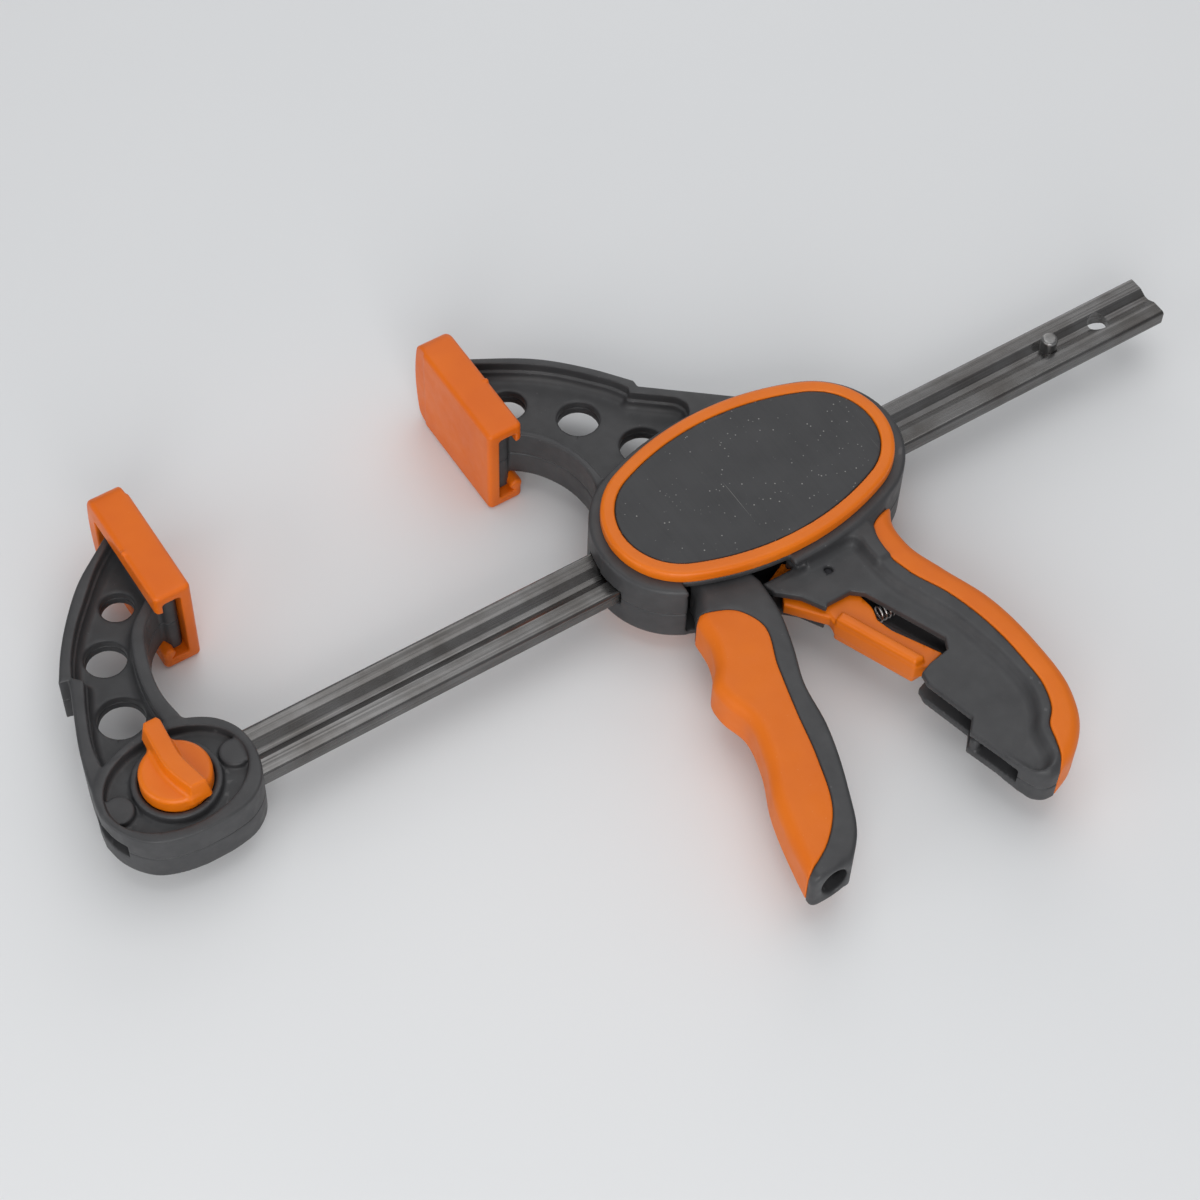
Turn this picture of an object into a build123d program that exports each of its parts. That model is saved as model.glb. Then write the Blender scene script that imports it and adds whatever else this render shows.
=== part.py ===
"""Quick release bar clamp, modelled lying flat.

Frame: the origin is the centre of the fixed pad's clamping face. +X runs along the bar towards its
free end, +Y points from the bar to the jaw tips, and +Z is the thickness, the same on both sides of
the middle plane z = 0 except for the knob. Outlines are drawn in bar coordinates: x from the fixed
pad's face, y from the bar's centreline. Millimetres throughout.
"""
from build123d import *
import os

os.makedirs("parts", exist_ok=True)

# --- driving dimensions -------------------------------------------------------------------------
PAD_REACH = 82.0          # bar centreline to pad centre
OPENING = 112.5           # gap between the two pad faces as stored

BAR_WIDE = 19.0
BAR_THICK = 6.5
BAR_BACK = -56.0          # hidden end, inside the fixed jaw
BAR_TIP = 354.0           # free end
SLIP = 0.15               # clearance of everything that the bar slides or sits in

PAD_DEEP = 13.2           # along X
PAD_TALL = 40.0           # along Z
PAD_FOOT, PAD_HEAD = 56.5, 105.5    # y of the open end and of the closed end
PAD_WALL = 4.2
FLANGE_THICK = 4.6        # flange on the jaw tip that the pad grips
FLANGE_HALF = 15.2

ARM_HALF = 10.6           # half thickness of both jaws
WEB_HALF = 3.3            # half thickness of their recessed webs
EDGE = 0.9                # rounding of moulded edges

BASE_AT = -36.0           # knob axis and centre of the fixed jaw's base
BASE_LONG, BASE_SHORT = 26.7, 20.7
BASE_RIM = 3.2
BASE_FLOOR = 6.6
COLLAR_OUT, COLLAR_IN, COLLAR_TOP = 15.4, 12.8, 10.2
KNOB_R = 12.2
KNOB_BASE, KNOB_FACE, KNOB_TOP = 8.0, 15.2, 20.4
LOCK_PIN_R = 2.4
RUN = 0.06                # radial running clearance

BODY_AT = 180.4           # centre of the head's oval body
BODY_LONG, BODY_SHORT = 58.1, 35.3
NOSE_AT = (148, -2)       # centre of the body's fuller nose, in front of the trigger
NOSE_LONG, NOSE_SHORT = 26.2, 26.5
BODY_HALF = 12.5
ROOM_HALF = 9.9           # half height of the hollow inside the head
RING_AT = 179.5
RING_LONG, RING_SHORT = 55.1, 33.0
RING_BAND = 5.6
RING_TOP, BADGE_TOP = 17.0, 15.6

GRIP_HALF = 10.0          # handle rim
GRIP_WEB = 6.4            # handle web
GRIP_GAP = 3.4            # half width of the channel inside the web

TRIGGER_HALF = 9.2
TRIGGER_GAP = 6.9         # half width between the trigger's side plates
TRIGGER_AT = (150.0, 0.0)
TRIGGER_PIN_R = 3.0
LEVER_AT = (185.3, -39.8)
LEVER_PIN_R = 1.5
LEVER_HALF = 3.0
BLOCK_HALF = 6.4          # half height of the lever's finger block
BRAKE_AT = (187.5, -14.5)
BRAKE_TILT = 3.5          # degrees that the brake plate leans while it holds the bar


def level(z):
    """The sketch plane at height z, in bar coordinates."""
    return Plane(origin=(0, -PAD_REACH, z))


def finish(piece, name):
    """Label a finished piece and write its STEP file."""
    piece.part.label = name
    export_step(piece.part, f"parts/{name}.step")


# === bar and its stop ==========================================================================
GROOVE_HALF, GROOVE_DEEP = 3.8, 1.5
BAR_EDGE = 1.2
STOP_AT, STOP_R, STOP_TALL = 309.0, 3.0, 15.2
END_HOLE_AT, END_HOLE_R = 331.5, 3.9

with BuildPart() as bar:
    with BuildSketch(Plane(origin=(BAR_BACK, -PAD_REACH, 0), x_dir=(0, 1, 0), z_dir=(1, 0, 0))):
        Rectangle(BAR_WIDE, BAR_THICK)
        for side in (1, -1):
            with BuildLine():
                Polyline(
                    (-GROOVE_HALF, side * BAR_THICK / 2),
                    (-1, side * (BAR_THICK / 2 - GROOVE_DEEP)),
                    (1, side * (BAR_THICK / 2 - GROOVE_DEEP)),
                    (GROOVE_HALF, side * BAR_THICK / 2),
                    close=True,
                )
            make_face(mode=Mode.SUBTRACT)
    extrude(amount=BAR_TIP - BAR_BACK)
    long_edges = bar.edges().filter_by(Axis.X)
    fillet([e for e in long_edges if abs(e.center().Y + PAD_REACH) > BAR_WIDE / 2 - 0.1], BAR_EDGE)
    with BuildSketch(level(-BAR_THICK / 2)):
        with Locations((STOP_AT, 0)):
            Circle(STOP_R)
        with Locations((END_HOLE_AT, 0)):
            Circle(END_HOLE_R)
        with Locations((BASE_AT, 0)):
            Circle(LOCK_PIN_R + 0.1)
    extrude(amount=BAR_THICK, mode=Mode.SUBTRACT)
finish(bar, "bar")

with BuildPart() as stop_pin:
    with BuildSketch(level(-STOP_TALL / 2)):
        with Locations((STOP_AT, 0)):
            Circle(STOP_R)
    extrude(amount=STOP_TALL)
    fillet(stop_pin.edges().filter_by(GeomType.CIRCLE), 1.2)
finish(stop_pin, "stop_pin")

# === fixed jaw =================================================================================
FIXED_HOLES = [(-20.6, 72.5, 5.7), (-33.0, 56.2, 7.0), (-39.0, 33.4, 7.9)]
FIXED_SCREWS = [(-52, 12.4), (-20, 12.4), (-52, -12.4), (-20, -12.4)]
BOSS_R, BOSS_TOP = 5.2, 9.2
BOSS_SPREAD = 20.4
SCREW_R, SCREW_HEAD_R, SCREW_HEAD = 1.4, 2.5, 2.0
SCREW_TIP = 5.0

with BuildPart() as fixed_half:
    # the curved arm, from the pad's neck down to the base
    with BuildSketch(level(0)):
        with BuildLine():
            back = Spline((-9.2, 98), (-20, 91), (-32, 79), (-41.5, 68.5), (-47.5, 58), (-50, 51.5))
            Line(back @ 1, (-48.2, 50.5))
            heel = Spline((-48.2, 50.5), (-52.6, 38), (-57.4, 24), (-60.8, 8), (-61.5, 0))
            Line(heel @ 1, (-24, 0))
            Line((-24, 0), (-24, 19.5))
            throat = Spline((-24, 19.5), (-25.2, 30), (-22.6, 45), (-17.5, 56), (-9.2, 62.5))
            Line(throat @ 1, back @ 0)
        make_face()
    extrude(amount=ARM_HALF)
    rounded = fixed_half.edges().group_by(Axis.Z)[-1].filter_by(GeomType.BSPLINE)
    fillet(rounded, EDGE)
    # the flange that the pad slides onto
    with BuildSketch(level(0)):
        with Locations((-PAD_WALL - FLANGE_THICK / 2 - 0.4, (PAD_FOOT + PAD_HEAD) / 2 - 1.0)):
            RectangleRounded(FLANGE_THICK, PAD_HEAD - PAD_FOOT - 8, 1.5)
    extrude(amount=FLANGE_HALF)
    # the web: a pocket with a rim all round
    with BuildSketch(level(WEB_HALF)):
        with BuildLine():
            rim = Spline((-14.6, 91.2), (-20, 86.6), (-30, 76.2), (-38.6, 66.6), (-44.2, 57), (-46.2, 51.5))
            Line(rim @ 1, (-44.8, 49))
            low = Spline((-44.8, 49), (-49, 37.4), (-53.4, 24), (-54.6, 17.5))
            Line(low @ 1, (-29, 17.5))
            inner = Spline((-29, 17.5), (-29.4, 30), (-26.8, 45), (-21.6, 57), (-14.6, 64))
            Line(inner @ 1, rim @ 0)
        make_face()
    extrude(amount=ARM_HALF, mode=Mode.SUBTRACT)
    with BuildSketch(level(0)):
        for x, y, r in FIXED_HOLES:
            with Locations((x, y)):
                Circle(r)
    extrude(amount=WEB_HALF, mode=Mode.SUBTRACT)
    # the oval base with its sunk floor, collar and two bosses
    with BuildSketch(level(0)):
        with Locations((BASE_AT, 0)):
            Ellipse(BASE_LONG, BASE_SHORT)
    extrude(amount=ARM_HALF)
    with BuildSketch(level(BASE_FLOOR)):
        with Locations((BASE_AT, 0)):
            Ellipse(BASE_LONG - BASE_RIM, BASE_SHORT - BASE_RIM)
            Circle(COLLAR_OUT, mode=Mode.SUBTRACT)
        with Locations((BASE_AT - BOSS_SPREAD, 0), (BASE_AT + BOSS_SPREAD, 0)):
            Circle(BOSS_R, mode=Mode.SUBTRACT)
    extrude(amount=ARM_HALF, mode=Mode.SUBTRACT)
    with BuildSketch(level(COLLAR_TOP)):
        with Locations((BASE_AT, 0)):
            Circle(COLLAR_OUT)
    extrude(amount=ARM_HALF, mode=Mode.SUBTRACT)
    with BuildSketch(level(BOSS_TOP)):
        with Locations((BASE_AT - BOSS_SPREAD, 0), (BASE_AT + BOSS_SPREAD, 0)):
            Circle(BOSS_R)
    extrude(amount=ARM_HALF, mode=Mode.SUBTRACT)
    # the slot for the bar, open at both ends
    with BuildSketch(level(0)):
        with Locations((BASE_AT, 0)):
            Rectangle(4 * BASE_LONG, BAR_WIDE + 2 * SLIP)
    extrude(amount=BAR_THICK / 2 + SLIP, mode=Mode.SUBTRACT)

with BuildPart() as fixed_jaw_upper:
    add(fixed_half.part)
    with BuildSketch(level(0)):
        with Locations((BASE_AT, 0)):
            Circle(LOCK_PIN_R + RUN)
    extrude(amount=ARM_HALF, mode=Mode.SUBTRACT)
    with BuildSketch(level(KNOB_BASE - 0.4)):
        with Locations((BASE_AT, 0)):
            Circle(COLLAR_IN)
    extrude(amount=ARM_HALF, mode=Mode.SUBTRACT)
    with BuildSketch(level(0)):
        with Locations(*FIXED_SCREWS):
            Circle(SCREW_R)
    extrude(amount=SCREW_TIP, mode=Mode.SUBTRACT)
finish(fixed_jaw_upper, "fixed_jaw_upper")

with BuildPart() as fixed_jaw_lower:
    mirror(fixed_half.part, about=Plane.XY)
    with BuildSketch(level(0)):
        with Locations(*FIXED_SCREWS):
            Circle(SCREW_R)
    extrude(amount=-ARM_HALF, mode=Mode.SUBTRACT)
    with BuildSketch(level(-BASE_FLOOR + 0.8)):
        with Locations(*FIXED_SCREWS):
            Circle(SCREW_HEAD_R + 0.1)
    extrude(amount=-ARM_HALF, mode=Mode.SUBTRACT)
finish(fixed_jaw_lower, "fixed_jaw_lower")

# === pads ======================================================================================
LIP_THICK = 2.6
LIP_EDGE = 11.6           # the lips reach in to this height
BULGE = 2.6


def pad(face_x, way):
    """One pad: clamping face at x = face_x, body reaching away from it in direction way."""
    back = face_x - way * PAD_DEEP
    inner = face_x - way * PAD_WALL
    lip = back + way * LIP_THICK
    with BuildPart() as piece:
        with BuildSketch(Plane(origin=(min(face_x, back), -PAD_REACH, 0), x_dir=(0, 1, 0), z_dir=(1, 0, 0))):
            with BuildLine():
                Line((PAD_FOOT, -PAD_TALL / 2), (PAD_FOOT, PAD_TALL / 2))
                Line((PAD_FOOT, PAD_TALL / 2), (PAD_HEAD, PAD_TALL / 2))
                crown = (PAD_HEAD + BULGE, 0)
                ThreePointArc((PAD_HEAD, PAD_TALL / 2), crown, (PAD_HEAD, -PAD_TALL / 2))
                Line((PAD_HEAD, -PAD_TALL / 2), (PAD_FOOT, -PAD_TALL / 2))
            make_face()
        extrude(amount=PAD_DEEP)
        fillet(piece.edges().filter_by(Axis.Y), 1.0)
        hollow = PAD_HEAD - PAD_WALL - PAD_FOOT
        with BuildSketch(Plane(origin=(0, PAD_FOOT - PAD_REACH, 0), x_dir=(1, 0, 0), z_dir=(0, 1, 0))):
            with Locations(((inner + lip) / 2, 0)):
                Rectangle(abs(inner - lip), PAD_TALL - 2 * PAD_WALL)
            with Locations(((lip + back) / 2, 0)):
                Rectangle(abs(lip - back), 2 * LIP_EDGE)
        extrude(amount=hollow, mode=Mode.SUBTRACT)
    return piece


fixed_pad = pad(0, 1)
finish(fixed_pad, "fixed_pad")
moving_pad = pad(OPENING, -1)
finish(moving_pad, "moving_pad")

# === lock knob, its pin and spring =============================================================
BAR_HANDLE_WIDE = 7.6
BAR_HANDLE_NOSE = 18.5
LOCK_PIN_LOW, LOCK_PIN_HIGH = -3.0, 9.0
SPRING_WIRE = 0.8

with BuildPart() as lock_knob:
    with BuildSketch(level(KNOB_BASE)):
        with Locations((BASE_AT, 0)):
            Circle(KNOB_R)
    extrude(amount=KNOB_FACE - KNOB_BASE)
    fillet(lock_knob.edges().filter_by(GeomType.CIRCLE).group_by(Axis.Z)[-1], 1.0)
    with BuildSketch(level(KNOB_FACE - 3.6)):
        with BuildLine():
            Polyline(
                (BASE_AT - 3.6, BAR_HANDLE_NOSE),
                (BASE_AT + 2.6, BAR_HANDLE_NOSE),
                (BASE_AT + 3.9, KNOB_R - 2),
                (BASE_AT + 5.0, -KNOB_R + 0.9),
                (BASE_AT - 3.2, -KNOB_R + 0.5),
                (BASE_AT - 4.2, KNOB_R - 2),
                close=True,
            )
        make_face()
    extrude(amount=KNOB_TOP - KNOB_FACE + 3.6)
    fillet(lock_knob.edges().group_by(Axis.Z)[-1], 0.7)
    with BuildSketch(level(KNOB_BASE)):
        with Locations((BASE_AT, 0)):
            Circle(LOCK_PIN_R + 0.3)
    extrude(amount=KNOB_TOP - KNOB_BASE - 1.6, mode=Mode.SUBTRACT)
finish(lock_knob, "lock_knob")

with BuildPart() as lock_pin:
    with BuildSketch(level(LOCK_PIN_LOW)):
        with Locations((BASE_AT, 0)):
            Circle(LOCK_PIN_R)
    extrude(amount=LOCK_PIN_HIGH - LOCK_PIN_LOW)
    chamfer(lock_pin.edges().filter_by(GeomType.CIRCLE), 0.5)
finish(lock_pin, "lock_pin")

with BuildPart() as lock_spring:
    with BuildSketch(level(LOCK_PIN_HIGH)):
        with Locations((BASE_AT, 0)):
            Circle(LOCK_PIN_R)
            Circle(LOCK_PIN_R - SPRING_WIRE, mode=Mode.SUBTRACT)
    extrude(amount=KNOB_TOP - 1.6 - LOCK_PIN_HIGH)
finish(lock_spring, "lock_spring")

# === head shells: moving jaw, body and handle in two halves ====================================
GRIP_SEAM = [(214.5, -30.6), (206, -36), (204, -44), (206, -56), (212, -70), (216.5, -92), (216, -110),
             (211.5, -125), (206, -133), (201.5, -143.4)]      # where the handle's soft back begins
MOVING_HOLES = [(132.6, 77.2, 6.2), (150.2, 59.5, 7.3), (162.7, 37.9, 8.0)]
HEAD_SCREWS = [(131, 14), (131, -14), (229, 14.5), (229, -14.5)]
GRIP_SCREWS = [(208.5, -100), (199, -134)]
ROOM_BACK, ROOM_FRONT = 224.0, 138.0
MOUTH_BACK, MOUTH_FRONT = 176.8, 140.5
RIBS = [174.5, 200.3]     # middles of the two ribs that the springs bear on
RIB_THICK, RIB_TALL = 2.6, 42.0
ROOM_LONG, ROOM_SHORT = BODY_LONG - 3.2, BODY_SHORT - 6.3
SEAT_LONG, SEAT_TALL = 11.0, 7.0            # blocks that the brake plate's ears sit in
BRAKE_THICK = 3.0
BRAKE_HALF = 6.4          # half height of the drive and brake plates
POST_AT, POST_R = (189.6, -116.5), 1.8

with BuildPart() as head_half:
    # the moving jaw's arm
    with BuildSketch(level(0)):
        with BuildLine():
            crest = Spline((OPENING + 9.2, 101), (130, 96.5), (150, 84), (163, 71), (172.4, 59))
            Polyline(crest @ 1, (172.3, 56.2), (205, 29.5), (205, 8), (131, 8), (131, 19))
            neck = Spline((131, 19), (136.4, 27), (137, 40), (130, 55.4), (OPENING + 9.2, 63))
            Line(neck @ 1, crest @ 0)
        make_face()
    extrude(amount=ARM_HALF)
    rounded = head_half.edges().group_by(Axis.Z)[-1].filter_by(GeomType.BSPLINE)
    fillet(rounded, EDGE)
    with BuildSketch(level(0)):
        with Locations((OPENING + PAD_WALL + FLANGE_THICK / 2 + 0.4, (PAD_FOOT + PAD_HEAD) / 2 - 1.0)):
            RectangleRounded(FLANGE_THICK, PAD_HEAD - PAD_FOOT - 8, 1.5)
    extrude(amount=FLANGE_HALF)
    # its web pocket, stepped like the outline
    with BuildSketch(level(WEB_HALF)):
        with BuildLine():
            rim = Spline((127.1, 95.4), (139, 88.6), (150.5, 80.2), (160.5, 69.8), (167.6, 60.6), (169.2, 57.2))
            Polyline(rim @ 1, (168.4, 55.4), (181, 45.3))
            ThreePointArc((181, 45.3), (182.6, 42.2), (181, 39.6))
            Polyline((181, 39.6), (178, 30), (140.2, 28))
            lip = Spline((140.2, 28), (139, 40), (131.2, 56.6), (127.1, 61))
            Line(lip @ 1, rim @ 0)
        make_face()
    extrude(amount=ARM_HALF, mode=Mode.SUBTRACT)
    with BuildSketch(level(0)):
        for x, y, r in MOVING_HOLES:
            with Locations((x, y)):
                Circle(r)
    extrude(amount=WEB_HALF, mode=Mode.SUBTRACT)
    # the oval body round the bar
    with BuildSketch(level(0)):
        with Locations((BODY_AT, 0)):
            Ellipse(BODY_LONG, BODY_SHORT)
    extrude(amount=BODY_HALF)
    body_rim = head_half.edges().filter_by_position(Axis.Z, BODY_HALF - 0.01, BODY_HALF + 0.01)
    fillet(body_rim, EDGE)
    # its fuller nose, in front of the trigger
    with BuildSketch(level(0)):
        with Locations(NOSE_AT):
            Ellipse(NOSE_LONG, NOSE_SHORT)
        with Locations((130, -15)):
            Rectangle(2 * (MOUTH_FRONT - 130), 30, mode=Mode.INTERSECT)
    extrude(amount=BODY_HALF - 0.6)
    # its room for the mechanism, open below where the trigger's neck enters
    with BuildSketch(level(0)):
        with Locations((BODY_AT, 0)):
            Ellipse(ROOM_LONG, ROOM_SHORT)
        with Locations(((ROOM_BACK + ROOM_FRONT) / 2, 0)):
            Rectangle(ROOM_BACK - ROOM_FRONT, 2 * BODY_SHORT, mode=Mode.INTERSECT)
        with Locations(((MOUTH_BACK + MOUTH_FRONT) / 2, -BODY_SHORT + 9)):
            Rectangle(MOUTH_BACK - MOUTH_FRONT, 22)
    extrude(amount=ROOM_HALF, mode=Mode.SUBTRACT)
    # the handle: a slab with a deep web pocket, its front edge stepping round the release lever
    with BuildSketch(level(0)):
        with BuildLine():
            Polyline((163, -33), (176, -33), (176, -29.5), (221, -24.5), (234, -12.5), (226, -20.5), (214.5, -30.6))
            seam = Spline(*GRIP_SEAM)
            Spline(seam @ 1, (196, -141), (192.7, -135.5))
            Polyline((192.7, -135.5), (187, -115.5), (191, -111.2), (186.5, -93.4), (187.3, -89))
            Polyline((187.3, -89), (192, -87.3), (200, -86), (202, -82), (190, -54), (186.5, -51))
            Polyline((186.5, -51), (177.5, -51), (175.9, -52.3), (171.1, -44), (164.6, -38), (163, -33))
        make_face()
    extrude(amount=GRIP_HALF)
    # the handle's web pocket, and the flat that runs out to the front edge
    with BuildSketch(level(GRIP_WEB)):
        with BuildLine():
            Polyline((155, -34), (162, -31), (184, -30.2), (186, -32.6), (198, -32.6), (201, -35.5))
            rim = Spline((201, -35.5), (200.6, -45), (205.6, -63), (211, -80), (212.6, -98),
                         tangents=((0, -1), (0, -1)))
            foot = Spline(rim @ 1, (209.6, -119), (204.2, -126.5), (202.4, -136), (198, -140), (193.5, -138),
                          tangents=((0, -1), (-0.6, 1)))
            Polyline(foot @ 1, (190, -131), (150, -131), (155, -34))
        make_face()
    extrude(amount=GRIP_HALF, mode=Mode.SUBTRACT)
    # the channel between the handle's two webs
    with BuildSketch(level(0)):
        with BuildLine():
            Polyline(
                (150, -31), (178, -31), (178, -26), (198, -26), (198, -52), (207, -84), (206, -100), (203, -122),
                (197, -134), (190, -134), (160, -100), close=True,
            )
        make_face()
    extrude(amount=GRIP_GAP, mode=Mode.SUBTRACT)
    # ribs that the springs bear on, and the notched seats that the brake plate rocks in
    with BuildSketch(level(0)):
        with Locations((RIBS[0], 4), (RIBS[1], 4)):
            Rectangle(RIB_THICK, RIB_TALL)
    extrude(amount=ROOM_HALF)
    with BuildSketch(level(BRAKE_HALF + 0.5)):
        with Locations(BRAKE_AT):
            Rectangle(SEAT_LONG, SEAT_TALL)
            Rectangle(BRAKE_THICK + 0.8, SEAT_TALL, mode=Mode.SUBTRACT)
    extrude(amount=ROOM_HALF - BRAKE_HALF - 0.5)
    # the way through for the bar
    with BuildSketch(level(0)):
        with Locations((BODY_AT, 0)):
            Rectangle(2.2 * BODY_LONG, BAR_WIDE + 2 * SLIP)
    extrude(amount=BAR_THICK / 2 + SLIP, mode=Mode.SUBTRACT)
    # seats for the trigger's stub pins and for the lever's pin
    with BuildSketch(level(0)):
        with Locations(TRIGGER_AT):
            Circle(TRIGGER_PIN_R)
        with Locations(LEVER_AT):
            Circle(LEVER_PIN_R)
    extrude(amount=BODY_HALF, mode=Mode.SUBTRACT)

with BuildPart() as head_shell_upper:
    add(head_half.part)
    with BuildSketch(level(0)):
        with Locations(*HEAD_SCREWS, *GRIP_SCREWS):
            Circle(SCREW_R)
    extrude(amount=SCREW_TIP, mode=Mode.SUBTRACT)
finish(head_shell_upper, "head_shell_upper")

with BuildPart() as head_shell_lower:
    mirror(head_half.part, about=Plane.XY)
    with BuildSketch(level(0)):
        with Locations(*HEAD_SCREWS, *GRIP_SCREWS):
            Circle(SCREW_R)
    extrude(amount=-BODY_HALF, mode=Mode.SUBTRACT)
    with BuildSketch(level(-BODY_HALF)):
        with Locations(*HEAD_SCREWS):
            Circle(SCREW_HEAD_R + 0.1)
    extrude(amount=SCREW_HEAD + 0.2, mode=Mode.SUBTRACT)
    with BuildSketch(level(-GRIP_WEB)):
        with Locations(*GRIP_SCREWS):
            Circle(SCREW_HEAD_R + 0.1)
    extrude(amount=SCREW_HEAD, mode=Mode.SUBTRACT)
    # a post across the channel, which the closing trigger meets
    with BuildSketch(level(-GRIP_GAP)):
        with Locations(POST_AT):
            Circle(POST_R)
    extrude(amount=2 * GRIP_GAP)
finish(head_shell_lower, "head_shell_lower")


def screw_set(spots, head_z, tip_z):
    """Cap screws with hexagon sockets, heads down at head_z and tips up at tip_z."""
    with BuildPart() as piece:
        with BuildSketch(level(head_z)):
            with Locations(*spots):
                Circle(SCREW_HEAD_R)
        extrude(amount=SCREW_HEAD)
        with BuildSketch(level(head_z)):
            with Locations(*spots):
                Circle(SCREW_R)
        extrude(amount=tip_z - head_z)
        with BuildSketch(level(head_z)):
            with Locations(*spots):
                RegularPolygon(1.3, 6)
        extrude(amount=1.2, mode=Mode.SUBTRACT)
    return piece


head_screws = screw_set(HEAD_SCREWS, -BODY_HALF + 0.2, SCREW_TIP - 0.2)
finish(head_screws, "head_screws")
grip_screws = screw_set(GRIP_SCREWS, -GRIP_WEB, SCREW_TIP - 0.2)
finish(grip_screws, "grip_screws")
fixed_jaw_screws = screw_set(FIXED_SCREWS, -BASE_FLOOR + 0.8 - SCREW_HEAD, SCREW_TIP - 0.2)
finish(fixed_jaw_screws, "fixed_jaw_screws")

# === trim ring and badge, one of each per side =================================================
BADGE_GAP = 0.2
for name, side in (("upper", 1), ("lower", -1)):
    with BuildPart() as trim_ring:
        with BuildSketch(level(side * BODY_HALF)):
            with Locations((RING_AT, 0)):
                Ellipse(RING_LONG, RING_SHORT)
                Ellipse(RING_LONG - RING_BAND, RING_SHORT - RING_BAND, mode=Mode.SUBTRACT)
        extrude(amount=side * (RING_TOP - BODY_HALF))
        outer_face = trim_ring.edges().group_by(Axis.Z)[-1 if side > 0 else 0]
        fillet(outer_face, 1.6)
    finish(trim_ring, f"trim_ring_{name}")
    with BuildPart() as badge:
        with BuildSketch(level(side * BODY_HALF)):
            with Locations((RING_AT, 0)):
                Ellipse(RING_LONG - RING_BAND - BADGE_GAP, RING_SHORT - RING_BAND - BADGE_GAP)
        extrude(amount=side * (BADGE_TOP - BODY_HALF))
        fillet(badge.edges().group_by(Axis.Z)[-1 if side > 0 else 0], 0.6)
    finish(badge, f"badge_plate_{name}")

# === soft back of the handle ===================================================================
with BuildPart() as handle_grip:
    with BuildSketch(level(-GRIP_HALF)):
        with BuildLine():
            seam = Spline(*GRIP_SEAM)
            toe = Spline(seam @ 1, (210.5, -139.6), (219, -131.5), (224, -120.5), (225.8, -101))
            spine = Spline(toe @ 1, (223.4, -77), (217.4, -60), (213.3, -46), (214.2, -36), (217.6, -30.2),
                           tangents=(toe % 1, (0.5, 0.8)))
            Line(spine @ 1, seam @ 0)
        make_face()
    extrude(amount=2 * GRIP_HALF)
    soft_edges = handle_grip.edges().filter_by(GeomType.BSPLINE).filter_by(lambda e: e.center().X > 213)
    fillet(soft_edges, 1.0)
finish(handle_grip, "handle_grip")

# === trigger: a channel-shaped lever with a soft front =========================================
TRIGGER_FRONT = [(135.8, -35), (134.6, -45), (131.6, -52), (126.6, -58.5), (126.2, -64), (128.6, -75),
                 (126, -87.5), (119, -103.5), (114, -122.5), (112, -132.5)]
TRIGGER_BACK = [(162.5, -33), (161.4, -45), (157, -60), (152, -73), (149, -90), (141, -113), (133.6, -128),
                (127, -135)]
SOFT_EDGE = [(138, -33.5), (149, -39), (153, -47), (148, -64), (143, -82), (138.8, -99), (130.6, -119),
             (124, -125.6), (112, -132.5)]
SOFT_HALF, CORE_HALF = 9.3, 8.0     # half widths over the soft front and of the core under it
SOFT_WALL, CORE_WALL = 2.5, 3.5
KNUCKLE_R = 7.6
PUSHER_AT, PUSHER_DEEP, PUSHER_TALL = (152, -17.6), 8.0, 4.8     # bar that pushes the drive plates

with BuildPart() as trigger_grip:
    with BuildSketch(level(-SOFT_HALF)):
        with BuildLine():
            front = Spline(*TRIGGER_FRONT)
            Spline(*SOFT_EDGE)
            Line(TRIGGER_FRONT[0], SOFT_EDGE[0])
        make_face()
    extrude(amount=2 * SOFT_HALF)
    front_edges = trigger_grip.edges().filter_by(GeomType.BSPLINE).filter_by(lambda e: e.center().X < 128)
    fillet(front_edges, 4.0)
    with BuildSketch(level(-CORE_HALF)):
        with BuildLine():
            wall = Spline(*[(x + SOFT_WALL, y) for x, y in TRIGGER_FRONT])
            Polyline(wall @ 1, (170, -130), (170, -30), wall @ 0)
        make_face()
    extrude(amount=2 * CORE_HALF, mode=Mode.SUBTRACT)
finish(trigger_grip, "trigger_grip")

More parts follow.
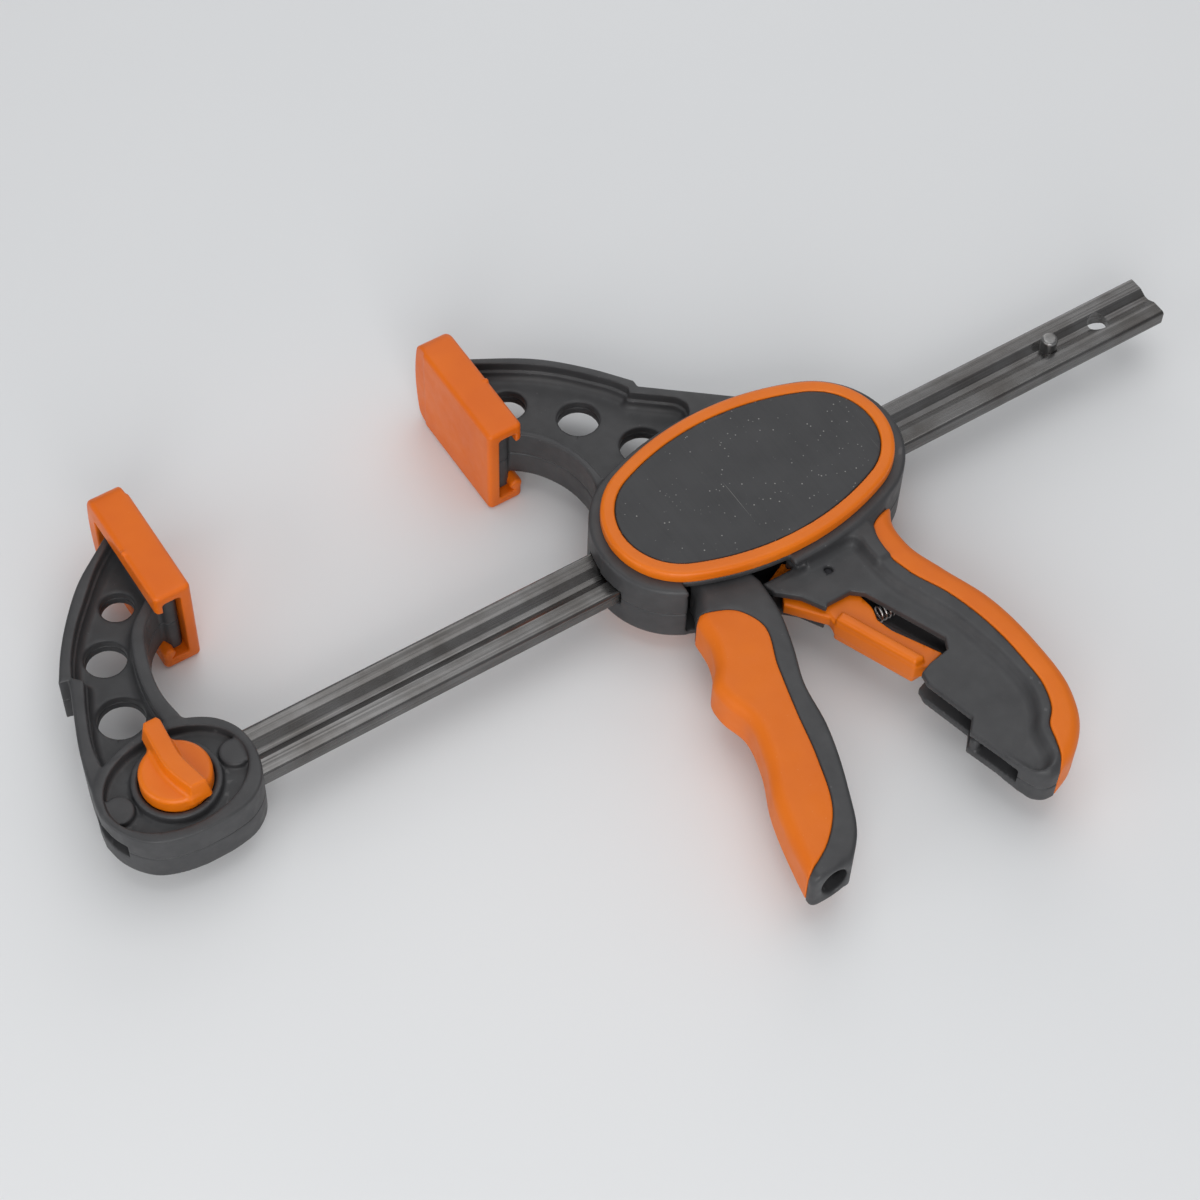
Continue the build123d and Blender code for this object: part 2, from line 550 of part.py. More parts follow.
with BuildPart() as trigger_frame:
    # the side plates' outline, with the round knuckle at the pivot
    with BuildSketch(level(-TRIGGER_HALF)):
        with Locations(TRIGGER_AT):
            Circle(KNUCKLE_R)
        with BuildLine():
            front = Spline(*TRIGGER_FRONT)
            Polyline(front @ 1, (112.6, -136.6), (117.4, -138.6), (125.4, -135.8), TRIGGER_BACK[-1])
            Spline(*TRIGGER_BACK)
            Polyline(TRIGGER_BACK[0], (161.4, -27), (157.6, -2), (142.5, -2), (141.8, -27.6), (138, -31), front @ 0)
        make_face()
    extrude(amount=2 * TRIGGER_HALF)
    # the hollow, open along the back and at the tip
    with BuildSketch(level(-TRIGGER_GAP)):
        with BuildLine():
            inner = Spline(*[(x + SOFT_WALL + CORE_WALL, y) for x, y in TRIGGER_FRONT])
            Polyline(inner @ 1, (118, -145), (175, -145), (175, 12), (135, 12), (135, -22), (146.5, -22), inner @ 0)
        make_face()
    extrude(amount=2 * TRIGGER_GAP, mode=Mode.SUBTRACT)
    # the bar that pushes the drive plates
    with BuildSketch(level(-TRIGGER_GAP)):
        with Locations(PUSHER_AT):
            Rectangle(PUSHER_DEEP, PUSHER_TALL)
    extrude(amount=2 * TRIGGER_GAP)
    with BuildSketch(level(-TRIGGER_HALF)):
        with Locations(TRIGGER_AT):
            Circle(TRIGGER_PIN_R + RUN)
    extrude(amount=2 * TRIGGER_HALF, mode=Mode.SUBTRACT)
    # the outer skin gives way to the soft front, down to the core
    with BuildSketch(level(-TRIGGER_HALF)):
        with BuildLine():
            front = Spline(*TRIGGER_FRONT)
            Spline(*SOFT_EDGE)
            Line(TRIGGER_FRONT[0], SOFT_EDGE[0])
        make_face()
    skin = extrude(amount=2 * TRIGGER_HALF, mode=Mode.PRIVATE)
    with BuildSketch(level(-CORE_HALF)):
        with BuildLine():
            wall = Spline(*[(x + SOFT_WALL, y) for x, y in TRIGGER_FRONT])
            Polyline(wall @ 1, (170, -130), (170, -30), wall @ 0)
        make_face()
    core = extrude(amount=2 * CORE_HALF, mode=Mode.PRIVATE)
    add(skin - core, mode=Mode.SUBTRACT)
finish(trigger_frame, "trigger_frame")

with BuildPart() as trigger_pins:
    for side in (1, -1):
        with BuildSketch(level(side * 5.0)):
            with Locations(TRIGGER_AT):
                Circle(TRIGGER_PIN_R)
        extrude(amount=side * (BODY_HALF - 0.1 - 5.0))
finish(trigger_pins, "trigger_pins")

# === drive plates, brake plate and their springs ===============================================
PLATE_THICK = 2.8
PLATE_LOW, PLATE_HIGH = -21.0, 14.0
PLATES_X = [156.5, 159.5]
SLOT_WIDE, SLOT_THICK = BAR_WIDE + 0.7, BAR_THICK + 0.6
SPRING_R = 3.0
SPRING_Y = 13.5

for name, x in zip(("front", "rear"), PLATES_X):
    with BuildPart() as drive_plate:
        with BuildSketch(Plane(origin=(x, -PAD_REACH, 0), x_dir=(0, 1, 0), z_dir=(1, 0, 0))):
            with Locations(((PLATE_LOW + PLATE_HIGH) / 2, 0)):
                RectangleRounded(PLATE_HIGH - PLATE_LOW, 2 * BRAKE_HALF, 1.5)
            Rectangle(SLOT_WIDE, SLOT_THICK, mode=Mode.SUBTRACT)
        extrude(amount=PLATE_THICK)
    finish(drive_plate, f"drive_plate_{name}")

BRAKE_FOOT, BRAKE_CREST = -11.0, 33.5      # ends of the brake plate, from the middle of its ears
with BuildPart() as brake_plate:
    up = Vector(0, 1, 0).rotate(Axis.Z, BRAKE_TILT)
    across = Vector(1, 0, 0).rotate(Axis.Z, BRAKE_TILT)
    with BuildSketch(Plane(origin=(BRAKE_AT[0], BRAKE_AT[1] - PAD_REACH, 0), x_dir=up, z_dir=across)):
        with Locations(((BRAKE_FOOT + BRAKE_CREST) / 2, 0)):
            RectangleRounded(BRAKE_CREST - BRAKE_FOOT, 2 * BRAKE_HALF, 1.5)
        Rectangle(4, 2 * ROOM_HALF - 1.0)
        with Locations((-BRAKE_AT[1], 0)):
            Rectangle(SLOT_WIDE, SLOT_THICK, mode=Mode.SUBTRACT)
    extrude(amount=BRAKE_THICK / 2, both=True)
finish(brake_plate, "brake_plate")


def coil(start, end, y):
    """The sleeve that a compression spring fills, along X from start to end at height y."""
    with BuildPart() as piece:
        with BuildSketch(Plane(origin=(start, y - PAD_REACH, 0), x_dir=(0, 1, 0), z_dir=(1, 0, 0))):
            Circle(SPRING_R)
            Circle(SPRING_R - SPRING_WIRE, mode=Mode.SUBTRACT)
        extrude(amount=end - start)
    return piece


drive_spring = coil(PLATES_X[1] + PLATE_THICK, RIBS[0] - RIB_THICK / 2, SPRING_Y)
finish(drive_spring, "drive_spring")
brake_spring = coil(187.7, RIBS[1] - RIB_THICK / 2, SPRING_Y)
finish(brake_spring, "brake_spring")
release_spring = coil(191.0, 199.2, -60)
finish(release_spring, "release_spring")

# === release lever and its pin =================================================================
with BuildPart() as release_lever:
    with BuildSketch(level(-LEVER_HALF)):
        with BuildLine():
            Polyline((182, -36), (168, -38.6), (166.3, -41.8), (176.3, -54), (176, -57), (188, -85), (192, -87))
            Polyline((192, -87), (199.4, -85), (190.6, -69), (189, -63), (190.4, -58), (190, -54), (188.6, -40))
            Polyline((188.6, -40), (190.2, -33), (195.2, -28), (194.8, -20.5), (192.1, -20.5), (192.1, -26.8))
            Polyline((192.1, -26.8), (189.6, -28.8), (184.4, -32), (182, -36))
        make_face()
    extrude(amount=2 * LEVER_HALF)
    # the finger block
    with BuildSketch(level(-BLOCK_HALF)):
        with BuildLine():
            Polyline((176, -57), (188, -85), (192.4, -84.4), (181.4, -58.8), (179.7, -55.4), (176, -57))
        make_face()
    extrude(amount=2 * BLOCK_HALF)
    with BuildSketch(level(-BODY_HALF)):
        with Locations(LEVER_AT):
            Circle(LEVER_PIN_R + RUN)
    extrude(amount=2 * BODY_HALF, mode=Mode.SUBTRACT)
finish(release_lever, "release_lever")

LEVER_PIN_HALF = GRIP_WEB - 1.5
with BuildPart() as lever_pin:
    with BuildSketch(level(-LEVER_PIN_HALF)):
        with Locations(LEVER_AT):
            Circle(LEVER_PIN_R)
    extrude(amount=2 * LEVER_PIN_HALF)
finish(lever_pin, "lever_pin")
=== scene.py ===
"""Quick release bar clamp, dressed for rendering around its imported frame.

Outlines are written in millimetres, in bar coordinates: x from the fixed pad's face along the bar, y from
the bar's centreline towards the jaw tips, z from the middle plane.  SHIFT and MM take them to the frame.
"""
import math

import bpy
import numpy as np
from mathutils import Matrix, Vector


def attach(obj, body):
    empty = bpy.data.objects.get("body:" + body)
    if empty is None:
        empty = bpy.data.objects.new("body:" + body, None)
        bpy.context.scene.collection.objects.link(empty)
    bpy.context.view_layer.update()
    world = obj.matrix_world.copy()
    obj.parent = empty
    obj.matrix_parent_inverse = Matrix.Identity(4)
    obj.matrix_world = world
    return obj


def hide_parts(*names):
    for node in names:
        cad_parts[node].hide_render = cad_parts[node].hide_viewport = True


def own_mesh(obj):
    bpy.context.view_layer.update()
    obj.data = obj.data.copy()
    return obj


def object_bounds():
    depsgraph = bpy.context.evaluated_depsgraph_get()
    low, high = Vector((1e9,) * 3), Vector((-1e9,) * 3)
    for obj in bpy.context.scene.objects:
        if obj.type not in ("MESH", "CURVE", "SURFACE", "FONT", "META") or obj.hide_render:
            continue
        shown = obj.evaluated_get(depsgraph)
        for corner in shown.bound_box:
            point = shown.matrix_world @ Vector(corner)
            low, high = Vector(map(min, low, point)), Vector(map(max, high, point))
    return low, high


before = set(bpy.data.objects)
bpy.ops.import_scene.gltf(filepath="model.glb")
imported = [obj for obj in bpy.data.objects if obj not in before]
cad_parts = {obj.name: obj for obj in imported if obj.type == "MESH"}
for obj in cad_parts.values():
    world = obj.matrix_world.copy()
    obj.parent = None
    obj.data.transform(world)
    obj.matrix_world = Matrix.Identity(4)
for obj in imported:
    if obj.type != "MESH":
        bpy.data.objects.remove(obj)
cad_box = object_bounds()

import openvdb
from mathutils import Matrix, Vector

# --- Camera ------------------------------------------------------------------------------------
# The view from above the handle's side, along the line that shows the badge and both pads.
CAMERA_AT = (-0.1844, -0.5266, 0.765)
CAMERA_RIGHT = (0.84156734, -0.53968946, 0.0223542)
CAMERA_DOWN = (-0.43273407, -0.69839855, -0.57007078)
CAMERA_FORWARD = (0.32327333, 0.47007952, -0.82129142)
SENSOR, LENS = 36.0, 84.45          # millimetres

camera = bpy.data.objects.new("camera", bpy.data.cameras.new("camera"))
bpy.context.collection.objects.link(camera)
camera.data.sensor_width = SENSOR
camera.data.lens = LENS
camera.matrix_world = Matrix((
    (CAMERA_RIGHT[0], -CAMERA_DOWN[0], -CAMERA_FORWARD[0], CAMERA_AT[0]),
    (CAMERA_RIGHT[1], -CAMERA_DOWN[1], -CAMERA_FORWARD[1], CAMERA_AT[1]),
    (CAMERA_RIGHT[2], -CAMERA_DOWN[2], -CAMERA_FORWARD[2], CAMERA_AT[2]),
    (0, 0, 0, 1),
))
bpy.context.scene.camera = camera
bpy.context.scene.view_settings.view_transform = "Standard"

# --- Light -------------------------------------------------------------------------------------
# A pale room with four soft boxes: beside the camera, overhead, behind the jaws and off their open side.
ROOM_TONE, FILL_TONE, FILL = (0.86, 0.87, 0.88, 1), (0.95, 0.97, 1.0, 1), 0.34
SOFT_BOXES = [    # name, place, what it points at, width, watts
    ("front_box", (-0.45, -1.05, 0.62), (0.12, -0.09, 0.0), 0.9, 8.5),
    ("top_box", (0.30, 0.10, 1.25), (0.12, -0.09, 0.0), 1.1, 4.5),
    ("rear_box", (0.75, 0.75, 0.55), (0.12, -0.09, 0.0), 0.8, 2.0),
    ("side_box", (-1.20, -0.05, 0.50), (0.12, -0.05, 0.0), 0.8, 3.2),
]
for box_name, place, target, width, watts in SOFT_BOXES:
    lamp = bpy.data.lights.new(box_name, "AREA")
    lamp.shape = "SQUARE"
    lamp.size = width
    lamp.energy = watts
    soft_box = bpy.data.objects.new(box_name, lamp)
    bpy.context.collection.objects.link(soft_box)
    aim = Vector(place) - Vector(target)
    soft_box.rotation_euler = aim.to_track_quat("Z", "Y").to_euler()
    soft_box.location = place


def feed(tree, node, values):
    """Each named input of a node linked to a socket or given a constant."""
    for name, value in values.items():
        if isinstance(value, bpy.types.NodeSocket):
            tree.links.new(value, node.inputs[name])
        else:
            node.inputs[name].default_value = value
    return node


def put(tree, kind, values, **settings):
    """One new node with its settings and its inputs."""
    node = tree.nodes.new(kind)
    for name, setting in settings.items():
        setattr(node, name, setting)
    return feed(tree, node, values)


room = bpy.data.worlds.new("room")
bpy.context.scene.world = room
room.use_nodes = True
tree = room.node_tree
tree.nodes.clear()
seen = put(tree, "ShaderNodeBackground", {"Color": ROOM_TONE, "Strength": 1.0})
fill = put(tree, "ShaderNodeBackground", {"Color": FILL_TONE, "Strength": FILL})
rays = put(tree, "ShaderNodeLightPath", {}).outputs
straight = put(tree, "ShaderNodeMath", {0: rays["Is Camera Ray"], 1: rays["Is Transmission Ray"]},
               operation="MAXIMUM")
blend = put(tree, "ShaderNodeMixShader", {"Fac": straight.outputs[0], 1: fill.outputs[0], 2: seen.outputs[0]})
put(tree, "ShaderNodeOutputWorld", {"Surface": blend.outputs[0]})


# --- Floor -------------------------------------------------------------------------------------
# The pale bench that the clamp lies on, level with the undersides of its pads.
def new_material(name):
    """A material, its node tree and its shader."""
    material = bpy.data.materials.new(name)
    material.use_nodes = True
    return material, material.node_tree, material.node_tree.nodes["Principled BSDF"]


def object_noise(tree, scale, detail=3.0, roughness=0.5):
    """Noise that lies still on the object, scale features to the metre."""
    where = put(tree, "ShaderNodeTexCoord", {})
    return put(tree, "ShaderNodeTexNoise", {
        "Vector": where.outputs["Object"], "Scale": scale, "Detail": detail, "Roughness": roughness,
    }).outputs["Fac"]


def ramp(tree, source, stops):
    """Colours at the given places along a value."""
    colours = put(tree, "ShaderNodeValToRGB", {"Fac": source})
    while len(colours.color_ramp.elements) < len(stops):
        colours.color_ramp.elements.new(0.5)
    for element, (place, colour) in zip(colours.color_ramp.elements, stops):
        element.position = place
        element.color = (*colour, 1)
    return colours.outputs["Color"]


FLOOR_DROP, FLOOR_HALF = 0.0003, 4.0
FADE_FROM, FADE_TO = 0.7, 2.2          # metres from the origin
floor_z = float(cad_box[0][2]) - FLOOR_DROP
corners = [(-1, -1), (1, -1), (1, 1), (-1, 1)]
floor_mesh = bpy.data.meshes.new("floor")
floor_mesh.from_pydata([(x * FLOOR_HALF, y * FLOOR_HALF, floor_z) for x, y in corners], [], [(0, 1, 2, 3)])
floor = bpy.data.objects.new("floor", floor_mesh)
bpy.context.collection.objects.link(floor)
bench, tree, shader = new_material("bench")
pale = ramp(tree, object_noise(tree, 3.0), [(0.3, (0.78, 0.79, 0.80)), (0.7, (0.81, 0.815, 0.82))])
feed(tree, shader, {"Base Color": pale, "Roughness": 0.75})
# far out it fades into the pale room, and from below it can be seen through
spot = put(tree, "ShaderNodeTexCoord", {})
reach = put(tree, "ShaderNodeVectorMath", {0: spot.outputs["Object"]}, operation="LENGTH")
far_out = put(tree, "ShaderNodeMapRange", {
    "Value": reach.outputs["Value"], "From Min": FADE_FROM, "From Max": FADE_TO,
}, interpolation_type="SMOOTHSTEP")
rays = put(tree, "ShaderNodeLightPath", {}).outputs
faded = put(tree, "ShaderNodeMath", {0: far_out.outputs["Result"], 1: rays["Is Camera Ray"]},
            operation="MULTIPLY").outputs[0]
room_tone = put(tree, "ShaderNodeEmission", {"Color": ROOM_TONE}).outputs[0]
fade = put(tree, "ShaderNodeMixShader", {"Fac": faded, 1: shader.outputs[0], 2: room_tone}).outputs[0]
under = put(tree, "ShaderNodeNewGeometry", {}).outputs["Backfacing"]
clear = put(tree, "ShaderNodeBsdfTransparent", {}).outputs[0]
one_way = put(tree, "ShaderNodeMixShader", {"Fac": under, 1: fade, 2: clear}).outputs[0]
feed(tree, tree.nodes["Material Output"], {"Surface": one_way})
floor_mesh.materials.append(bench)


# --- Fixed jaw ---------------------------------------------------------------------------------
# Two glass-filled nylon mouldings that meet on the middle plane, one the mirror of the other: a curved
# arm with a sunk web and three holes, a flange for the pad, and an oval base round the lock knob.
MM = 0.001
SHIFT = (0, -82.0, 0)
FINE = 0.45          # lattice step of most mouldings, in millimetres


def smooth(points, steps=8):
    """Points along a smooth curve through the given ones."""
    path = np.array(points, float)
    gaps = np.linalg.norm(np.diff(path, axis=0), axis=1)[:, None]
    slopes = np.diff(path, axis=0) / gaps
    tangents = np.vstack([slopes[:1], (slopes[:-1] * gaps[1:] + slopes[1:] * gaps[:-1])
                          / (gaps[:-1] + gaps[1:]), slopes[-1:]])
    u = np.linspace(0, 1, steps, endpoint=False)[:, None]
    spans = [
        (1 + 2 * u) * (1 - u) ** 2 * path[i] + u * (1 - u) ** 2 * gaps[i] * tangents[i]
        + u * u * (3 - 2 * u) * path[i + 1] - u * u * (1 - u) * gaps[i] * tangents[i + 1]
        for i in range(len(gaps))
    ]
    return np.vstack(spans + [path[-1:]])


def oval(centre, long, short, count=144):
    """Points round an ellipse."""
    turn = np.linspace(0, 2 * math.pi, count, endpoint=False)
    return np.stack([centre[0] + long * np.cos(turn), centre[1] + short * np.sin(turn)], axis=1)


def flat_oval(centre, long, short, end):
    """Points round an oval of four arcs, its two ends of that radius."""
    side = ((long - end) ** 2 + short ** 2 - end ** 2) / (2 * (short - end))
    meet = math.atan2(side - short, long - end)
    arcs = [(long - end, 0, end, -meet, meet), (0, short - side, side, meet, math.pi - meet),
            (end - long, 0, end, math.pi - meet, math.pi + meet),
            (0, side - short, side, math.pi + meet, 2 * math.pi - meet)]
    spans = []
    for x, y, radius, start, stop in arcs:
        turn = np.linspace(start, stop, 48, endpoint=False)
        spans.append(np.stack([centre[0] + x + radius * np.cos(turn),
                               centre[1] + y + radius * np.sin(turn)], axis=1))
    return np.vstack(spans)


class Space:
    """A block of space on a lattice. A solid in it is an array of distances, negative inside."""

    def __init__(self, low, high, step):
        self.low, self.step = np.array(low, float), step
        axes = [np.arange(a, b + step, step, dtype=np.float32) for a, b in zip(low, high)]
        self.x, self.y, self.z = axes[0][:, None, None], axes[1][None, :, None], axes[2][None, None, :]

    def within(self, *outline):
        """Distance to a closed outline, seen along z, negative inside it."""
        ends = np.vstack(outline)
        x, y = self.x[:, :, 0], self.y[:, :, 0]
        nearest = np.full((x.size, y.size), 1e9, np.float32)
        odd = np.zeros(nearest.shape, bool)
        for (ax, ay), (bx, by) in zip(ends, np.roll(ends, -1, axis=0)):
            dx, dy = bx - ax, by - ay
            if dx * dx + dy * dy < 1e-9:
                continue
            along = np.clip(((x - ax) * dx + (y - ay) * dy) / (dx * dx + dy * dy), 0, 1)
            nearest = np.minimum(nearest, (x - ax - along * dx) ** 2 + (y - ay - along * dy) ** 2)
            if dy:
                odd ^= ((ay > y) != (by > y)) & (x < dx * (y - ay) / dy + ax)
        return (np.where(odd, -1, 1) * np.sqrt(nearest))[:, :, None]

    def rod(self, centre, radius):
        """Distance to an upright cylinder."""
        return np.hypot(self.x - centre[0], self.y - centre[1]) - radius

    def surface(self, solid, turned=False, flatness=0.004):
        """The solid's skin as points in the frame and faces; turned puts it the other side of z = 0."""
        band = 3 * self.step
        lattice = openvdb.FloatGrid(band)
        lattice.copyFromArray(np.ascontiguousarray(np.clip(solid, -band, band), dtype=np.float32))
        points, triangles, quads = lattice.convertToPolygons(0.0, flatness)
        points = (points * self.step + self.low + SHIFT) * MM
        if turned:
            points[:, 2] *= -1
        faces = [list(f) for f in triangles] + [list(f) for f in quads]
        return points, faces if turned else [f[::-1] for f in faces]


def both(a, b, edge=0.0):
    """What two solids share, with that rounding where their faces cross."""
    if edge == 0:
        return np.maximum(a, b)
    corner = np.hypot(np.maximum(a + edge, 0), np.maximum(b + edge, 0))
    return np.minimum(np.maximum(a, b), -edge) + corner


def either(a, b, fillet=0.0):
    """Two solids joined, with that fillet in the corner between them."""
    if fillet == 0:
        return np.minimum(a, b)
    corner = np.hypot(np.maximum(fillet - a, 0), np.maximum(fillet - b, 0))
    return np.maximum(np.minimum(a, b), fillet) - corner


def without(a, b, edge=0.0):
    """The first solid less the second, with that rounding round the cut."""
    return both(a, -b, edge)


def piece_from(name, points, faces, material):
    """A smooth-shaded piece at the origin, its normals outwards."""
    mesh = bpy.data.meshes.new(name)
    mesh.from_pydata(points.tolist() if hasattr(points, "tolist") else points, [], faces)
    mesh.validate()
    mesh.shade_smooth()
    mesh.materials.append(material)
    piece = bpy.data.objects.new(name, mesh)
    bpy.context.collection.objects.link(piece)
    return piece


def grey(value):
    """A grey of that value."""
    return (value, value, value)


def mixed(tree, share, under, over, blend="MIX"):
    """One colour with that share of another laid over it."""
    return put(tree, "ShaderNodeMix", {"Factor": share, "A": under, "B": over},
               data_type="RGBA", blend_type=blend).outputs["Result"]


def relief(tree, height, strength, depth):
    """The normal of a surface with that fine relief."""
    bump = put(tree, "ShaderNodeBump", {"Height": height, "Strength": strength, "Distance": depth})
    return bump.outputs["Normal"]


def moulded_nylon():
    """Dark glass-filled nylon: faint mottling, a fine mould grain, pale dust and a painted highlight that makes
    convex edges a little paler.
    """
    material, tree, shader = new_material("moulded_nylon")
    mottle = ramp(tree, object_noise(tree, 90.0, 6.0),
                  [(0.30, (0.036, 0.036, 0.038)), (0.70, (0.050, 0.050, 0.052))])
    # painted highlight: convex edges, found by pointiness, are made paler as if they caught the light
    bend = put(tree, "ShaderNodeNewGeometry", {})
    edge_highlight = put(tree, "ShaderNodeMapRange", {
        "Value": bend.outputs["Pointiness"], "From Min": 0.53, "From Max": 0.60, "To Max": 0.35,
    })
    dust = ramp(tree, object_noise(tree, 620.0, 2.0, 0.6), [(0.71, grey(0)), (0.80, grey(0.5))])
    # the painted edge highlight joined with real pale dust specks, both mixed towards one pale grey
    paler_places = put(tree, "ShaderNodeMath", {0: edge_highlight.outputs["Result"], 1: dust}, operation="MAXIMUM")
    feed(tree, shader, {
        "Base Color": mixed(tree, paler_places.outputs[0], mottle, (0.16, 0.155, 0.155, 1)),
        "Roughness": ramp(tree, object_noise(tree, 240.0), [(0.3, grey(0.42)), (0.7, grey(0.56))]),
        "Normal": relief(tree, object_noise(tree, 2200.0, 2.0), 0.35, 0.00006),
    })
    return material


nylon = moulded_nylon()
ARM_HALF, WEB_HALF, EDGE = 10.6, 3.3, 0.9
FLANGE_BACK, FLANGE_THICK, FLANGE_AT, FLANGE_LONG, FLANGE_HALF = 7.3, 5.6, 80.0, 41.0, 15.2
BASE_AT, BASE_LONG, BASE_SHORT, BASE_FLOOR = (-36.0, 0.0), 26.7, 20.7, 6.6
BASE_RIM = [(-62.3, 1), (-61.3, -5), (-58.5, -11), (-53, -16.8), (-46, -19.7), (-39.5, -20.9), (-33, -21.1),
            (-27, -20.8), (-19.2, -18.9), (-13.2, -14), (-10.4, -7.5), (-9.5, -1), (-10.4, 6), (-14.6, 13),
            (-22.5, 18.2), (-34, 20.7), (-45, 19.4), (-55, 14.6), (-61, 7.4), (-62.3, 1)]
COLLAR_OUT, COLLAR_IN, COLLAR_TOP, COLLAR_FLOOR = 14.4, 12.2, 10.2, 7.6
BOSSES, BOSS_R, BOSS_TOP = [(-56.4, 0), (-15.6, 0)], 5.2, 9.2
FIXED_HOLES = [((-20.6, 72.5), 5.7), ((-33.0, 56.2), 7.0), ((-39.0, 33.4), 7.9)]
BAR_HALF_WIDE, BAR_HALF_THICK = 9.65, 3.4          # the bar's way, with its slip


def pad_flange(space, off_middle):
    """The plate on a jaw's tip that the pad slides onto, from the distance to its middle plane."""
    plate = both(abs(off_middle) - FLANGE_THICK / 2, abs(space.y - FLANGE_AT) - FLANGE_LONG / 2, 2.1)
    return both(plate, space.z - FLANGE_HALF, 1.4)


def bar_way(space):
    """The slot that the bar runs through."""
    return np.maximum(abs(space.y) - BAR_HALF_WIDE, space.z - BAR_HALF_THICK)


def fixed_jaw_half(space):
    """The upper half of the fixed jaw, cut off at the middle plane."""
    z = space.z
    arm = space.within(
        smooth([(-9.2, 97.4), (-19, 90.4), (-28.4, 83), (-37.2, 73.2), (-45.6, 61.4), (-51.4, 51)]),
        smooth([(-48, 50.2), (-52.6, 38), (-57.4, 24), (-60.8, 8), (-61.5, 0)]), [(-24, 0), (-24, 19.5)],
        smooth([(-24, 19.5), (-25.2, 30), (-22.6, 45), (-17.5, 56), (-9.2, 62.5)]),
    )
    pocket = space.within(
        [(-8, 95.6)],
        smooth([(-12.6, 92.4), (-20, 86.6), (-29, 77.2), (-38, 66.8), (-44.4, 57), (-47.4, 50.6)]),
        smooth([(-44.6, 47.6), (-49, 37.4), (-53.4, 24), (-54.6, 15)]), [(-29, 15)],
        smooth([(-29, 17.5), (-29.4, 30), (-26.8, 45), (-21.6, 57), (-12.6, 65)]), [(-8, 68)],
    )
    jaw = both(arm, z - ARM_HALF, EDGE)
    jaw = without(jaw, both(pocket + 0.5, 6.8 - z, 0.4), 0.5)
    jaw = without(jaw, both(pocket + 1.3, WEB_HALF - z, 2.8), 0.3)
    jaw = either(jaw, pad_flange(space, space.x + FLANGE_BACK), 1.6)
    base = space.within(smooth(BASE_RIM))
    jaw = either(jaw, both(base, z - ARM_HALF, EDGE), 1.2)
    collar = space.rod(BASE_AT, COLLAR_OUT)
    sunk = both(space.within(oval(BASE_AT, BASE_LONG - 3.0, BASE_SHORT - 3.2)), -collar, 0.6)
    jaw = without(jaw, both(sunk, BASE_FLOOR - z, 1.2), 0.6)
    for boss in BOSSES:
        jaw = either(jaw, both(both(space.rod(boss, BOSS_R), z - BOSS_TOP, EDGE), base + 1.0), 0.8)
    jaw = either(jaw, both(collar, z - COLLAR_TOP, 0.7))
    jaw = np.where((collar < 0) & (z > COLLAR_TOP - 1), np.maximum(jaw, z - COLLAR_TOP), jaw)
    jaw = without(jaw, both(space.rod(BASE_AT, COLLAR_IN), COLLAR_FLOOR - z, 0.3), 0.5)
    for centre, radius in FIXED_HOLES:
        jaw = without(jaw, space.rod(centre, radius), 0.7)
    return both(without(jaw, bar_way(space), 0.3), -z, 0.3)


jaw_space = Space((-65, -24, -1.5), (-2, 106, 17), FINE)
jaw_half = fixed_jaw_half(jaw_space)
for node, turned in (("fixed_jaw_upper", False), ("fixed_jaw_lower", True)):
    half = piece_from(f"{node}_moulding", *jaw_space.surface(jaw_half, turned), nylon)
    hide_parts(node)
    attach(half, "bar_assembly")

# --- Pads --------------------------------------------------------------------------------------
# Soft orange plastic boots with a crowned end. Each slides onto its jaw's flange, which the two lips
# along its back hold, so the open end faces the bar.
OPENING = 112.5
PAD_DEEP, PAD_TALL, PAD_FOOT, PAD_ROOF = 13.2, 40.0, 56.5, 101.3
CROWN_R, CROWN_AT = 78.2, 29.9


def soft_orange(name, colour, darker, gloss, grain_scale, grain_depth):
    """Orange rubbery plastic: slow drifts of colour, a grain, and a few rubbed, dusty places."""
    material, tree, shader = new_material(name)
    drift = ramp(tree, object_noise(tree, 45.0, 5.0), [(0.32, darker), (0.68, colour)])
    dust = ramp(tree, object_noise(tree, 700.0, 2.0, 0.6), [(0.70, grey(0)), (0.80, grey(0.22))])
    feed(tree, shader, {
        "Base Color": mixed(tree, dust, drift, (0.85, 0.40, 0.16, 1)),
        "Specular IOR Level": 0.35,
        "Roughness": ramp(tree, object_noise(tree, 160.0),
                          [(0.3, grey(gloss - 0.07)), (0.7, grey(gloss + 0.07))]),
        "Normal": relief(tree, object_noise(tree, grain_scale, 2.0), 0.3, grain_depth),
    })
    return material


pad_orange = soft_orange("pad_orange", (0.80, 0.160, 0.004), (0.74, 0.136, 0.003), 0.42, 1500.0, 0.00004)
pad_space = Space((-14.4, 54.9, -21.5), (1.5, 110, 21.5), FINE)
x, y, z = pad_space.x, pad_space.y, pad_space.z
pad = both(both(abs(z) - PAD_TALL / 2 + 0 * y, PAD_FOOT - y, 1.6), np.hypot(y - CROWN_AT, z) - CROWN_R, 4.0)
pad = both(pad, abs(x + PAD_DEEP / 2) - PAD_DEEP / 2, 1.7)
pad = without(pad, both(100.6 - y, -0.8 - x, 0.0) + 0 * z, 0.6)
hollow = both(both(abs(x + 7.4) - 3.2 + 0 * y, abs(z) - 15.8, 1.2), y - PAD_ROOF, 1.0)
between_lips = both(both(x + 8.0, abs(z) - 11.6), y - PAD_ROOF, 1.0)
pad = without(pad, either(hollow, between_lips), 0.6)
bead = both(np.hypot(x + 11.0, z + 13.0) - 2.2, abs(y - 80) - 23.4, 0.8)
pad = either(pad, bead, 0.4)
pad = either(pad, np.sqrt((x + 12.4) ** 2 + (y - 79) ** 2 + (z - 19.3) ** 2) - 1.1, 0.3)
pad_points, pad_faces = pad_space.surface(pad, flatness=0.001)
fixed_boot = piece_from("fixed_pad_boot", pad_points, pad_faces, pad_orange)
facing = pad_points * (-1, 1, 1) + (OPENING * MM, 0, 0)
